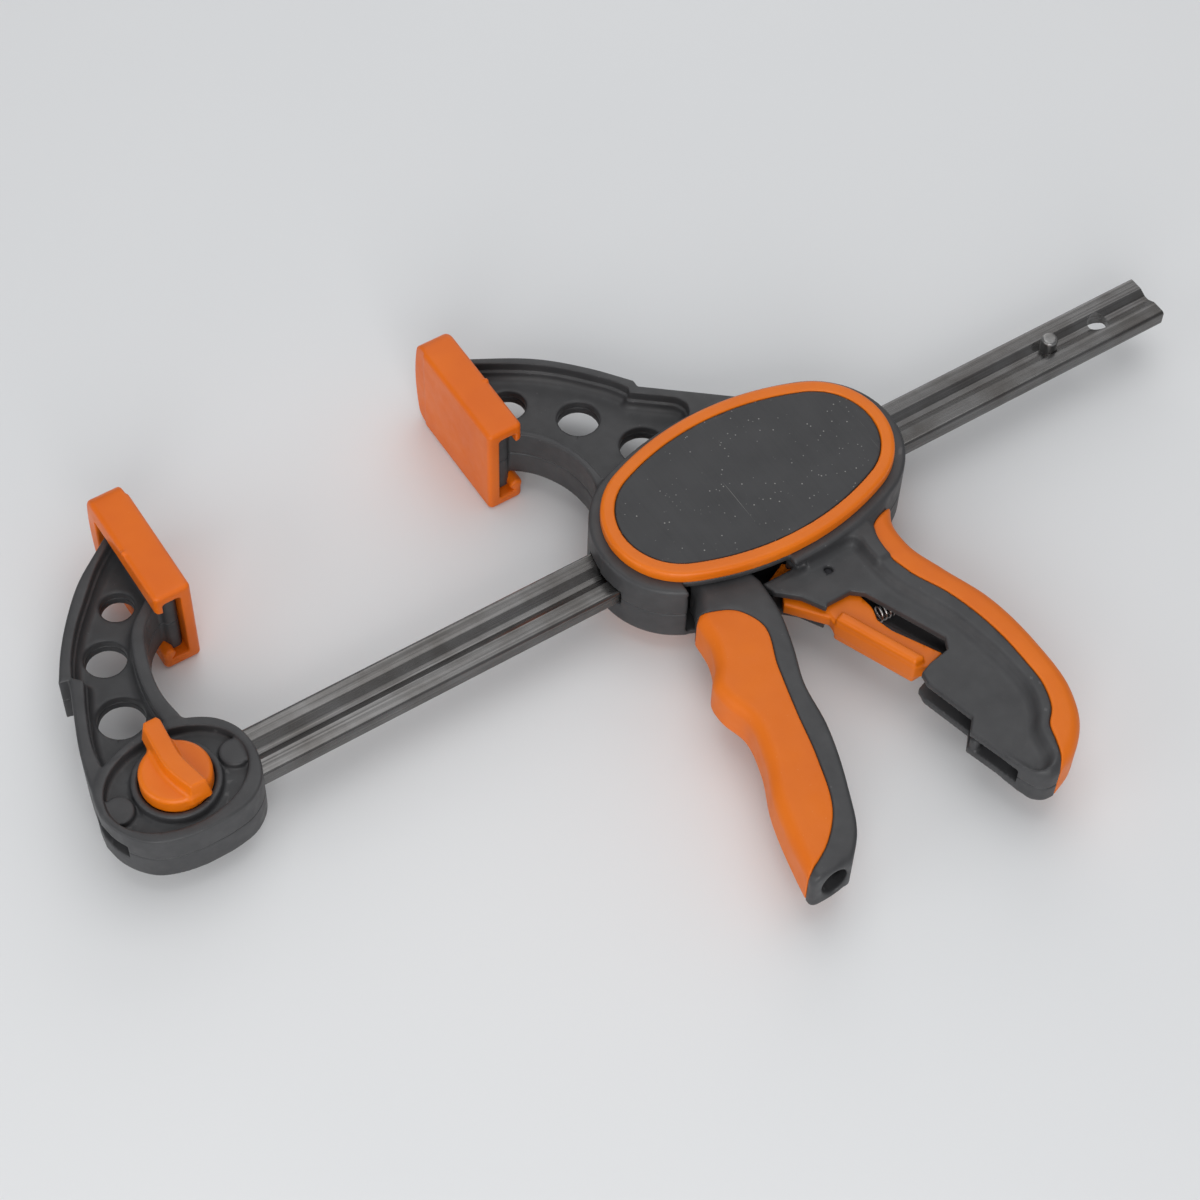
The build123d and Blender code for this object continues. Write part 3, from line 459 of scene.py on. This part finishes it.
moving_boot = piece_from("moving_pad_boot", facing, [f[::-1] for f in pad_faces], pad_orange)
for boot, node, body in ((fixed_boot, "fixed_pad", "bar_assembly"), (moving_boot, "moving_pad", "head")):
    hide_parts(node)
    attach(boot, body)

# --- Lock knob ---------------------------------------------------------------------------------
# The orange moulding that draws the lock pin out of the bar: a low disc in its collar, with a waisted
# grip across it that runs out past the disc as a pointer.
knob_orange = soft_orange("knob_orange", (0.80, 0.180, 0.004), (0.74, 0.154, 0.003), 0.36, 2600.0, 0.00002)
KNOB_R, KNOB_TOP, KNOB_DRAFT = 11.7, 20.4, 0.15
knob_space = Space((-50, -14.5, 6.8), (-22, 20.5, 22), 0.3)
z = knob_space.z
disc = both(knob_space.rod(BASE_AT, KNOB_R), abs(z - 11.6) - 3.6, 1.6)
grip_plan = knob_space.within(
    smooth([(-38.3, 15.9), (-38.8, 8), (-38.9, 0), (-37.7, -5.5), (-35.8, -10.9)]),
    smooth([(-30.4, -10.9), (-31.8, -4.8), (-33.0, 1), (-32.8, 8), (-32.3, 15.9)]),
    [(-33.0, 17.4), (-37.3, 17.4)],
)
grip_bar = both(grip_plan - KNOB_DRAFT * (KNOB_TOP - z), abs(z - 16.0) - 4.4, 0.6)
under_pointer = both(12.6 - knob_space.y, z - 13.4)
grip_bar = without(grip_bar, under_pointer, 0.4)
knob = both(either(disc, grip_bar, 1.5), 8.0 - z)
pin_hole = both(knob_space.rod(BASE_AT, 2.55), z - 18.8)
knob = without(knob, pin_hole)
knob_piece = piece_from("lock_knob_moulding", *knob_space.surface(knob), knob_orange)
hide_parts("lock_knob")
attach(knob_piece, "knob")

# --- Head shells -------------------------------------------------------------------------------
# The sliding head is two nylon mouldings again: moving jaw, oval body round the bar and pistol handle in
# one. The webs are sunk behind rims with soft coves, and the handle's two webs leave a channel between
# them for the release lever.
HEAD_AT, HEAD_LONG, HEAD_SHORT, HEAD_END, HEAD_HALF = (180.0, 0.0), 58.3, 35.3, 30.0, 12.5
RING_AT, RING_LONG, RING_SHORT, RING_END = (180.0, 0.2), 54.3, 32.1, 26.5
ROOM_HALF = 9.9
GRIP_HALF, GRIP_WEB, CHANNEL_HALF = 10.0, 6.4, 3.4
MOVING_HOLES = [((132.6, 77.2), 6.2), ((150.2, 59.5), 7.3), ((162.7, 37.9), 8.0)]
GRIP_SEAM = [(214.5, -30.6), (206, -36), (204, -44), (206, -56), (212, -70), (216.4, -90), (217.0, -104),
             (216.2, -116), (213.0, -123.8), (208.9, -128.2), (206.9, -134.0), (204.6, -139.4), (201.5, -143.4)]
TOE_TIP = [(201.5, -143.4), (198.2, -143.0), (195.0, -140.6), (192.9, -136.0)]
HEAD_SCREWS = [(131, 14), (131, -14), (229, 14.5), (229, -14.5)]
GRIP_SCREWS = [(208.5, -100), (199, -134)]
TRIGGER_AT, LEVER_AT, POST_AT = (150.0, 0.0), (185.3, -39.8), (189.6, -116.5)
RIBS_AT = (174.5, 200.3)
# boxes as centre and half sizes: the nose's end, the trigger's room, its ways out and the gap above its neck
NOSE_BOX = (117.6, -15), (20.5, 15)
TRIGGER_ROOM = (157.45, -26.3), (19.35, 11)
NECK_WAYS = [((157.45, -30), (19.35, 14)), ((172.5, -40.4), (7.0, 6.4))]
NECK_GAP = (156.4, -32), (18.3, 12)


def box(space, centre, halves):
    """Distance to an upright box, endless along z."""
    return np.maximum(abs(space.x - centre[0]) - halves[0], abs(space.y - centre[1]) - halves[1])


def head_half(space):
    """The upper half of the head, cut off at the middle plane."""
    z = space.z
    arm = space.within(
        smooth([(OPENING + 9.2, 101), (130, 96.5), (150, 84), (163, 71), (172.4, 59)]),
        [(172.3, 56.2), (205, 29.5), (205, 8), (131, 8)],
        smooth([(131, 19), (136.4, 27), (137, 40), (130, 55.4), (OPENING + 9.2, 63)]),
    )
    pocket = space.within(
        [(120.5, 98.4)],
        smooth([(125.2, 96.4), (139, 88.6), (150.5, 80.2), (160.5, 69.8), (167.6, 60.6), (169.2, 57.2)]),
        [(168.4, 55.4)], smooth([(177.4, 48.2), (181.2, 44.6), (182.4, 41), (181.4, 37.6), (178, 34)]),
        [(172, 30)],
        smooth([(140.2, 28), (139, 40), (131.2, 56.6), (125.2, 62)]), [(120.5, 65)],
    )
    jaw = both(arm, z - ARM_HALF, EDGE)
    jaw = without(jaw, both(pocket + 0.3, 6.6 - z, 0.4), 0.5)
    jaw = without(jaw, both(pocket + 1.2, WEB_HALF - z, 3.0), 0.3)
    for centre, radius in MOVING_HOLES:
        jaw = without(jaw, space.rod(centre, radius), 0.7)
    head = either(jaw, pad_flange(space, space.x - OPENING - FLANGE_BACK), 1.6)
    shape = space.within(flat_oval(HEAD_AT, HEAD_LONG, HEAD_SHORT, HEAD_END))
    body = both(shape, z - HEAD_HALF, 1.2)
    nose = np.maximum(space.within(oval((148, -2), 26.2, 26.5)), box(space, *NOSE_BOX))
    head = either(either(head, body, 1.2), both(nose, z - HEAD_HALF + 0.6, 1.0), 1.5)
    room_plan = np.maximum(space.within(oval(HEAD_AT, 54.9, 29.0)), box(space, (181, 0), (43, 40)))
    room = both(np.minimum(room_plan, box(space, *TRIGGER_ROOM)), z - ROOM_HALF, 1.0)
    head = without(head, room, 0.5)
    # the handle: web, cove and rim
    slab = space.within(
        [(163, -33), (176, -33), (176, -29.5), (221, -24.5), (234, -12.5), (226, -20.5)], smooth(GRIP_SEAM),
        smooth(TOE_TIP),
        [(187, -115.5), (191, -111.2), (186.5, -93.4), (187.3, -89), (192, -87.3), (200, -86), (202, -82)],
        [(190, -54), (186.5, -51), (177.5, -51), (175.9, -52.3), (171.1, -44), (164.6, -38)],
    )
    sunk = space.within(
        [(150, -34), (162, -31), (184, -30.2), (186, -32.6), (196, -32.6)],
        smooth([(199.6, -35.6), (199.2, -45), (200.2, -57), (203.7, -66), (207.2, -75), (210.9, -92),
                (212.2, -107), (211.4, -116.6), (208.7, -122.4), (205, -127), (203.2, -133), (202.2, -137.4),
                (200, -139.8), (196.6, -140.4), (193.5, -138.2)]),
        [(190, -131), (150, -131)],
    )
    rim = both(both(slab, z - GRIP_HALF, 0.5), -sunk, 2.0)
    handle = both(either(both(slab, z - GRIP_WEB, 0.7), rim, 3.8), slab, 0.6)
    toe = space.within(
        [(150, 0), (240, 0), (240, -120), (224, -120.5)],
        smooth([(224, -120.5), (219, -131.5), (210.5, -139.6), (201.5, -143.4)]), smooth(TOE_TIP),
        [(172, -128), (150, -110)],
    )
    handle = both(handle, both(toe, z - GRIP_HALF, 4.2))
    corner = space.within(
        [(186, -28), (206, -28), (205, -47)],
        smooth([(200.0, -47), (199.8, -41), (200.0, -37.6), (198.2, -35.2), (194.5, -34.6), (188, -34.6)]),
    )
    corner = both(np.maximum(corner, slab), z - GRIP_HALF - 0.6, 0.8)
    head = either(either(head, corner, 0.8), handle, 2.8)
    # the ways through: the trigger's neck, the lever's channel and the bar
    neck_way = np.minimum(*(box(space, *way) for way in NECK_WAYS))
    head = without(head, both(neck_way, abs(z - 8.25) - 1.65), 0.2)
    channel = space.within([(150, -31), (178, -31), (178, -26), (198, -26), (198, -52), (207, -84), (206, -100),
                            (203, -122), (197, -134), (190, -134), (160, -100)])
    head = without(head, both(channel, z - CHANNEL_HALF), 0.4)
    for rib in RIBS_AT:
        head = either(head, both(box(space, (rib, 4), (1.3, 21)), z - ROOM_HALF - 0.5), 0.4)
    head = without(head, bar_way(space), 0.3)
    head = without(head, both(space.rod(TRIGGER_AT, 3.0), z - HEAD_HALF))
    head = without(head, space.rod(LEVER_AT, 1.5), 0.3)
    return both(head, -z, 0.35)


head_space = Space((110, -147, -1.5), (242, 106, 17), 0.5)
head = head_half(head_space)
# above the trigger's neck the upper half stops at the ring's foot
neck_gap = both(box(head_space, *NECK_GAP), 9.0 - head_space.z)
neck_gap = both(neck_gap, -head_space.within(flat_oval(RING_AT, RING_LONG, RING_SHORT, RING_END)), 0.5)
upper_shell = piece_from("head_shell_upper_moulding", *head_space.surface(without(head, neck_gap, 0.4)), nylon)
for spot in HEAD_SCREWS:
    head = without(head, both(head_space.rod(spot, 2.6), HEAD_HALF - 2.2 - head_space.z))
for spot in GRIP_SCREWS:
    head = without(head, both(head_space.rod(spot, 2.6), GRIP_WEB - 2.0 - head_space.z), 0.3)
head = either(head, both(head_space.rod(POST_AT, 1.8), abs(head_space.z) - CHANNEL_HALF))
lower_shell = piece_from("head_shell_lower_moulding", *head_space.surface(head, True), nylon)
for shell, node in ((upper_shell, "head_shell_upper"), (lower_shell, "head_shell_lower")):
    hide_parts(node)
    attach(shell, "head")

# --- Trigger -----------------------------------------------------------------------------------
# A nylon channel, open towards the handle, that turns on two stub pins inside the head. Its soft front is
# moulded over the channel, with a rounded front and a waist for the fingers.
TRIGGER_FRONT = [(135.8, -35), (134.6, -45), (131.6, -52), (126.6, -58.5), (126.2, -64), (128.6, -75),
                 (126, -87.5), (119, -103.5), (114, -122.5), (112, -132.5)]
TRIGGER_BACK = [(162.5, -33), (161.4, -45), (157, -60), (152, -73), (149, -90), (141, -113), (133.6, -128),
                (127, -135)]
SOFT_EDGE = [(138, -33.5), (149, -39), (153, -47), (148, -64), (143, -82), (138.8, -99), (130.6, -119),
             (124, -125.6), (112, -132.5)]
SOFT_HALF, CORE_HALF, SIDE_HALF, GAP_HALF = 9.3, 8.0, 9.2, 6.9
SOFT_WALL, CORE_WALL = 2.5, 3.5
TIP_AT, TIP_ACROSS, TIP_FLOOR = (121.2, -134.0), (0.933, -0.36), -130.0
TIP_WIDE, TIP_TALL = 4.3, 6.4              # half sizes of the tip's oval mouth

grip_orange = soft_orange("grip_orange", (0.78, 0.170, 0.004), (0.72, 0.146, 0.003), 0.50, 1100.0, 0.00006)
space = Space((108, -141, -11), (166, 10, 11), FINE)
z = abs(space.z)
front_plan = space.within([(138.8, -30)], smooth(TRIGGER_FRONT), [(200, -132.5), (200, -30)])
soft_plan = space.within(smooth(SOFT_EDGE), [(90, -132.5), (90, -35.5), (135.8, -35)])
core_plan = space.within(smooth([(x + SOFT_WALL, y) for x, y in TRIGGER_FRONT]), [(200, -132.5), (200, -35)])
core = both(core_plan, z - CORE_HALF, 1.0)
soft_front = both(both(front_plan, z - SOFT_HALF, 4.6), soft_plan, 0.45)
soft_front = without(soft_front, core)
trigger_grip = piece_from("trigger_grip_skin", *space.surface(soft_front), grip_orange)
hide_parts("trigger_grip")
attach(trigger_grip, "trigger")

whole_front = space.within(
    [(142.5, 20)], smooth([(142.5, -2), (142.3, -18), (141.4, -26), (138.4, -31.6)]), smooth(TRIGGER_FRONT),
    smooth([(112, -132.5), (112.2, -135.6), (114.4, -138.0), (118.6, -138.7), (125.4, -135.8)]),
    [(200, -135), (200, 20)],
)
whole_back = space.within(smooth(TRIGGER_BACK), [(90, -135), (90, 0), (157.6, 0), (161.4, -27)])
channel = both(both(whole_front, z - SIDE_HALF, 4.2), whole_back, 1.4)
channel = either(channel, both(space.rod(TRIGGER_AT, 7.6), z - SIDE_HALF, 1.0))
inner_plan = space.within(
    smooth([(x + SOFT_WALL + CORE_WALL, y) for x, y in TRIGGER_FRONT]),
    [(118, -150), (200, -150), (200, 15), (125, 15), (125, -22), (146.5, -22)],
)
channel = without(channel, both(both(inner_plan, z - GAP_HALF, 2.6), TIP_FLOOR - space.y, 3.0), 0.5)
across_tip = (space.x - TIP_AT[0]) * TIP_ACROSS[0] + (space.y - TIP_AT[1]) * TIP_ACROSS[1]
mouth = TIP_WIDE * (np.hypot(across_tip / TIP_WIDE, z / TIP_TALL) - 1)
channel = without(channel, both(mouth, space.y - TIP_FLOOR - 6, 1.0), 1.0)
channel = either(channel, both(box(space, (152, -17.6), (4, 2.4)), z - GAP_HALF - 0.5), 0.5)
channel = without(channel, space.rod(TRIGGER_AT, 3.06))
channel = without(channel, without(soft_plan, core), 0.3)
trigger_frame = piece_from("trigger_frame_moulding", *space.surface(channel), nylon)
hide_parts("trigger_frame")
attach(trigger_frame, "trigger")

# --- Soft back of the handle -------------------------------------------------------------------
# Orange rubber moulded over the handle's back, from its neck round to the toe.
space = Space((200, -146, -11.5), (228, -28, 11.5), FINE)
z = abs(space.z)
palm = space.within(
    smooth([(201.5, -143.4), (210.5, -139.6), (219, -131.5), (224, -120.5), (225.8, -101), (223.4, -77),
            (217.4, -60), (213.3, -46), (214.2, -36), (217.6, -30.2)]), [(150, -30.2), (150, -143.4)],
)
behind_seam = space.within(smooth(GRIP_SEAM), [(240, -143.4), (240, -30.6)])
back_grip = both(both(palm, z - GRIP_HALF, 4.2), behind_seam, 0.45)
handle_grip = piece_from("handle_grip_skin", *space.surface(back_grip), grip_orange)
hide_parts("handle_grip")
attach(handle_grip, "head")

# --- Release lever -----------------------------------------------------------------------------
# The orange finger lever in the handle's window: a thin plate that turns on a pin in the handle's webs,
# with a raised block for the finger and a hook behind the brake plate's foot.
space = Space((164, -89, -8), (202, -18, 8), 0.4)
z = abs(space.z)
plate_plan = space.within(
    [(182, -36), (168, -38.6), (166.3, -41.8), (176.3, -54), (176, -57), (188, -85), (192, -87)],
    [(199.4, -85), (190.6, -69)], smooth([(189, -63), (190.4, -58), (190, -54), (188.6, -40)]),
    [(190.2, -33), (195.2, -28), (194.8, -20.5), (192.1, -20.5), (192.1, -26.8), (189.6, -28.8), (184.4, -32)],
)
BLOCK = [(177.2, -57.5), (188.5, -84.1), (191.2, -84.0), (180.7, -59.2), (179.4, -56.6)]
block_plan = space.within(BLOCK) - 0.9
arm_plan = space.within([(170, -38), (167.6, -31), (175.5, -27.4), (184, -34)])
lever = both(np.minimum(plate_plan, arm_plan), z - 3.0, 0.6)
lever = without(lever, both(space.within([(160, -25), (177, -25), (177, -57), (160, -62)]), 2.4 - z, 0.3), 0.4)
lever = either(lever, both(block_plan, z - 6.4, 1.7), 0.8)
lever = without(lever, space.rod(LEVER_AT, 1.56))
lever_piece = piece_from("release_lever_moulding", *space.surface(lever), knob_orange)
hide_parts("release_lever")
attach(lever_piece, "lever")

# --- Trim rings and badges ---------------------------------------------------------------------
# An orange ring snapped onto each side of the body, an oval of four arcs with a rounded outer edge, and
# inside it a bare badge plate that is nearly flush with it.
def badge_black():
    """Dark grey enamelled plate: fine pale specks of dust and hairline scratches."""
    material, tree, shader = new_material("badge_black")
    base = ramp(tree, object_noise(tree, 70.0, 6.0),
                [(0.35, (0.026, 0.026, 0.028)), (0.65, (0.034, 0.034, 0.036))])
    where = put(tree, "ShaderNodeTexCoord", {}).outputs["Object"]
    specks = put(tree, "ShaderNodeTexVoronoi", {"Vector": where, "Scale": 520.0})
    small = ramp(tree, specks.outputs["Distance"], [(0.10, grey(1)), (0.16, grey(0))])
    few = ramp(tree, object_noise(tree, 330.0, 2.0), [(0.50, grey(0)), (0.60, grey(0.6))])
    dust = put(tree, "ShaderNodeMath", {0: small, 1: few}, operation="MULTIPLY")
    tilt = put(tree, "ShaderNodeMapping", {"Vector": where, "Rotation": (0, 0, 0.9), "Scale": (1500, 22, 22)})
    scratch = put(tree, "ShaderNodeTexNoise", {"Vector": tilt.outputs["Vector"], "Scale": 1.0}).outputs["Fac"]
    hairs = ramp(tree, scratch, [(0.74, grey(0)), (0.78, grey(0.35))])
    paler_places = put(tree, "ShaderNodeMath", {0: dust.outputs[0], 1: hairs}, operation="MAXIMUM")
    feed(tree, shader, {
        "Base Color": mixed(tree, paler_places.outputs[0], base, (0.42, 0.41, 0.39, 1)),
        "Roughness": ramp(tree, scratch, [(0.3, grey(0.40)), (0.7, grey(0.52))]),
    })
    return material


badge_finish = badge_black()
RING_BAND, RING_TOP, BADGE_TOP, BADGE_GAP = 4.8, 17.0, 16.7, 0.12
space = Space((123, -34, 11), (237, 34.5, 18.2), 0.4)
z = space.z
ring_out = space.within(flat_oval(RING_AT, RING_LONG, RING_SHORT, RING_END))
ring_in = space.within(flat_oval(RING_AT, RING_LONG - RING_BAND, RING_SHORT - RING_BAND, RING_END - RING_BAND))
ring = both(both(both(ring_out, z - RING_TOP, 1.6), HEAD_HALF - z, 0.4), -ring_in, 0.4)
badge = both(both(ring_in + BADGE_GAP, z - BADGE_TOP, 0.4), HEAD_HALF - z)
for side, turned in (("upper", False), ("lower", True)):
    band = piece_from(f"trim_ring_{side}_band", *space.surface(ring, turned), knob_orange)
    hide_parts(f"trim_ring_{side}")
    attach(band, "head")
    plate = piece_from(f"badge_{side}_plate", *space.surface(badge, turned), badge_finish)
    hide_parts(f"badge_plate_{side}")
    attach(plate, "head")

# --- Springs -----------------------------------------------------------------------------------
# The coil springs inside: one behind the drive plates, one behind the brake plate, one behind the release
# lever and one above the lock pin.
def new_tree(name, sockets):
    """An empty Geometry Nodes tree, and the sockets that its inputs come from."""
    tree = bpy.data.node_groups.new(name, "GeometryNodeTree")
    for title, kind in sockets.items():
        tree.interface.new_socket(title, in_out="INPUT", socket_type=f"NodeSocket{kind}")
    tree.interface.new_socket("Geometry", in_out="OUTPUT", socket_type="NodeSocketGeometry")
    return tree, tree.nodes.new("NodeGroupInput").outputs


def finish_tree(tree, geometry, material):
    """Ends a tree with one smooth mesh in that material."""
    smooth_skin = put(tree, "GeometryNodeSetShadeSmooth", {"Geometry": geometry})
    single = put(tree, "GeometryNodeRealizeInstances", {"Geometry": smooth_skin.outputs[0]})
    painted = put(tree, "GeometryNodeSetMaterial", {"Geometry": single.outputs[0], "Material": material})
    tree.links.new(painted.outputs[0], tree.nodes.new("NodeGroupOutput").inputs[0])


def grown(name, tree, values, points=()):
    """The mesh that a tree makes from these inputs, as a piece at the origin."""
    maker = bpy.data.objects.new(f"{name}_maker", bpy.data.meshes.new(f"{name}_points"))
    maker.data.from_pydata(list(points), [], [])
    bpy.context.collection.objects.link(maker)
    modifier = maker.modifiers.new("grow", "NODES")
    modifier.node_group = tree
    for item in tree.interface.items_tree:
        if item.in_out == "INPUT" and item.name in values:
            modifier[item.identifier] = values[item.name]
    mesh = bpy.data.meshes.new_from_object(maker.evaluated_get(bpy.context.evaluated_depsgraph_get()))
    bpy.data.objects.remove(maker)
    mesh.name = name
    piece = bpy.data.objects.new(name, mesh)
    bpy.context.collection.objects.link(piece)
    return piece


def spring_tree():
    """A coil of round wire that starts at a place and points along a turned Z axis."""
    tree, given = new_tree("spring", {
        "Turns": "Float", "Radius": "Float", "Length": "Float", "Wire": "Float",
        "Place": "Vector", "Turn": "Vector", "Material": "Material",
    })
    coil = put(tree, "GeometryNodeCurveSpiral", {
        "Resolution": 28, "Rotations": given["Turns"], "Start Radius": given["Radius"],
        "End Radius": given["Radius"], "Height": given["Length"],
    })
    section = put(tree, "GeometryNodeCurvePrimitiveCircle", {"Resolution": 12, "Radius": given["Wire"]})
    wire = put(tree, "GeometryNodeCurveToMesh",
               {"Curve": coil.outputs[0], "Profile Curve": section.outputs[0], "Fill Caps": True})
    placed = put(tree, "GeometryNodeTransform",
                 {"Geometry": wire.outputs[0], "Translation": given["Place"], "Rotation": given["Turn"]})
    finish_tree(tree, placed.outputs[0], given["Material"])
    return tree


def streaked_steel(name, pale, dark, gloss, stretch):
    """Drawn or ground steel: fine streaks along the work, stains and a slight relief."""
    material, tree, shader = new_material(name)
    where = put(tree, "ShaderNodeTexCoord", {})
    along = put(tree, "ShaderNodeMapping", {"Vector": where.outputs["Object"], "Scale": stretch})
    streaks = put(tree, "ShaderNodeTexNoise", {
        "Vector": along.outputs["Vector"], "Scale": 1.0, "Detail": 6.0,
    }).outputs["Fac"]
    tone = ramp(tree, streaks, [(0.30, dark), (0.70, pale)])
    stain = ramp(tree, object_noise(tree, 60.0, 5.0, 0.6), [(0.35, (0.72, 0.70, 0.68)), (0.60, grey(1))])
    feed(tree, shader, {
        "Base Color": mixed(tree, 1.0, tone, stain, "MULTIPLY"),
        "Metallic": 1.0,
        "Roughness": ramp(tree, streaks, [(0.3, grey(gloss + 0.10)), (0.7, grey(gloss - 0.06))]),
        "Normal": relief(tree, streaks, 0.15, 0.00003),
    })
    return material


spring_steel = streaked_steel("spring_wire", (0.62, 0.62, 0.62), (0.42, 0.42, 0.42), 0.25, (900, 900, 900))
WIRE_R = 0.4
ALONG_BAR = (0, math.pi / 2, 0)
SPRINGS = [    # node, body, where it starts, how it turns, length, coil radius, turns
    ("drive_spring", "head", (162.3, 13.5, 0), ALONG_BAR, 10.9, 2.6, 5.5),
    ("brake_spring", "head", (187.7, 13.5, 0), ALONG_BAR, 11.3, 2.6, 5.5),
    ("release_spring", "head", (191.0, -60, 0), ALONG_BAR, 8.2, 2.6, 4.5),
    ("lock_spring", "knob", (BASE_AT[0], 0, 9.0), (0, 0, 0), 9.8, 2.0, 5.0),
]
SQUEEZED = {    # node: joint, axis, share of its length that is left at the joint's limit
    "drive_spring": ("drive_push", (1, 0, 0), 0.33),
    "brake_spring": ("brake_tilt", (1, 0, 0), 0.84),
    "release_spring": ("release_squeeze", (1, 0, 0), 0.68),
    "lock_spring": ("lock_pin_lift", (0, 0, 1), 0.22),
}
spring_maker = spring_tree()
for node, body, start, turn, length, radius, turns in SPRINGS:
    joint, axis, kept = SQUEEZED[node]
    foot = np.array(start) + SHIFT + np.array(axis) * WIRE_R
    spring = grown(f"{node}_coil", spring_maker, {
        "Turns": turns, "Radius": radius * MM, "Length": (length - 2 * WIRE_R) * MM, "Wire": WIRE_R * MM,
        "Place": tuple(foot * MM), "Turn": turn, "Material": spring_steel,
    })
    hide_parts(node)
    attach(spring, body)
    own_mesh(spring)

# --- Screws ------------------------------------------------------------------------------------
# Blackened cap screws with hexagon sockets, driven in from below through counterbores.
screw_steel = streaked_steel("screw_steel", (0.20, 0.20, 0.21), (0.12, 0.12, 0.125), 0.35, (700, 700, 700))
FIXED_SCREWS = [(-52, 12.4), (-20, 12.4), (-52, -12.4), (-20, -12.4)]
SCREW_SETS = [    # node, body, places, height of the head's face
    ("head_screws", "head", HEAD_SCREWS, -12.3),
    ("grip_screws", "head", GRIP_SCREWS, -6.4),
    ("fixed_jaw_screws", "bar_assembly", FIXED_SCREWS, -7.8),
]
SCREW_TIP = 4.8


def copies_tree():
    """One shape set down at every point."""
    tree, given = new_tree("copies", {"Geometry": "Geometry", "Shape": "Object", "Material": "Material"})
    shape = put(tree, "GeometryNodeObjectInfo", {"Object": given["Shape"]})
    spread = put(tree, "GeometryNodeInstanceOnPoints",
                 {"Points": given["Geometry"], "Instance": shape.outputs["Geometry"]})
    finish_tree(tree, spread.outputs[0], given["Material"])
    return tree


def one_screw(head_z):
    """A cap screw on the z axis, its head's face down at head_z."""
    space = Space((-3, -3, head_z - 0.6), (3, 3, SCREW_TIP + 0.6), 0.2)
    z = space.z
    head = both(space.rod((0, 0), 2.5), abs(z - head_z - 1.0) - 1.0, 0.35)
    thread = 0.12 * np.cos(2 * math.pi * z / 0.7 + np.arctan2(space.y, space.x))
    shank = both(space.rod((0, 0), 1.28) - thread, np.maximum(z - SCREW_TIP, head_z + 1.0 - z), 0.2)
    turn = np.radians(np.arange(0, 180, 60))
    flats = [abs(space.x * math.cos(a) + space.y * math.sin(a)) - 1.15 for a in turn]
    socket = both(np.maximum.reduce(flats), z - head_z - 1.2)
    return space.surface(without(either(head, shank), socket, 0.15))


copies_maker = copies_tree()
for node, body, spots, head_z in SCREW_SETS:
    points, faces = one_screw(head_z)
    single = piece_from(f"{node}_shape", points - np.array(SHIFT) * MM, faces, screw_steel)
    places = [((x + SHIFT[0]) * MM, (y + SHIFT[1]) * MM, 0) for x, y in spots]
    screws = grown(f"{node}_set", copies_maker, {"Shape": single, "Material": screw_steel}, places)
    bpy.data.objects.remove(single)
    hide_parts(node)
    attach(screws, body)

# --- Bar, pins and plates ----------------------------------------------------------------------
# The imported solids keep their shapes here and only take their finish: drawn steel for the bar, ground
# steel for the pins and hardened plate for the drive and the brake.
# painted reflection: the bar's colour is set far darker than bare steel, standing in for dark surroundings
# reflected in it
bar_steel = streaked_steel("bar_steel", (0.215, 0.21, 0.207), (0.13, 0.128, 0.126), 0.24, (14, 1400, 1400))
pin_steel = streaked_steel("pin_steel", (0.34, 0.335, 0.33), (0.22, 0.22, 0.22), 0.30, (500, 500, 90))
blued_steel = streaked_steel("blued_steel", (0.050, 0.050, 0.055), (0.030, 0.030, 0.033), 0.42, (500, 500, 90))
plate_steel = streaked_steel("plate_steel", (0.30, 0.30, 0.31), (0.20, 0.20, 0.205), 0.38, (600, 120, 600))
CAD_FINISHES = {
    "bar": bar_steel, "stop_pin": pin_steel, "lock_pin": pin_steel, "trigger_pins": pin_steel,
    "lever_pin": blued_steel, "drive_plate_front": plate_steel, "drive_plate_rear": plate_steel,
    "brake_plate": plate_steel,
}
for node, material in CAD_FINISHES.items():
    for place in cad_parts[node].material_slots:
        place.material = material
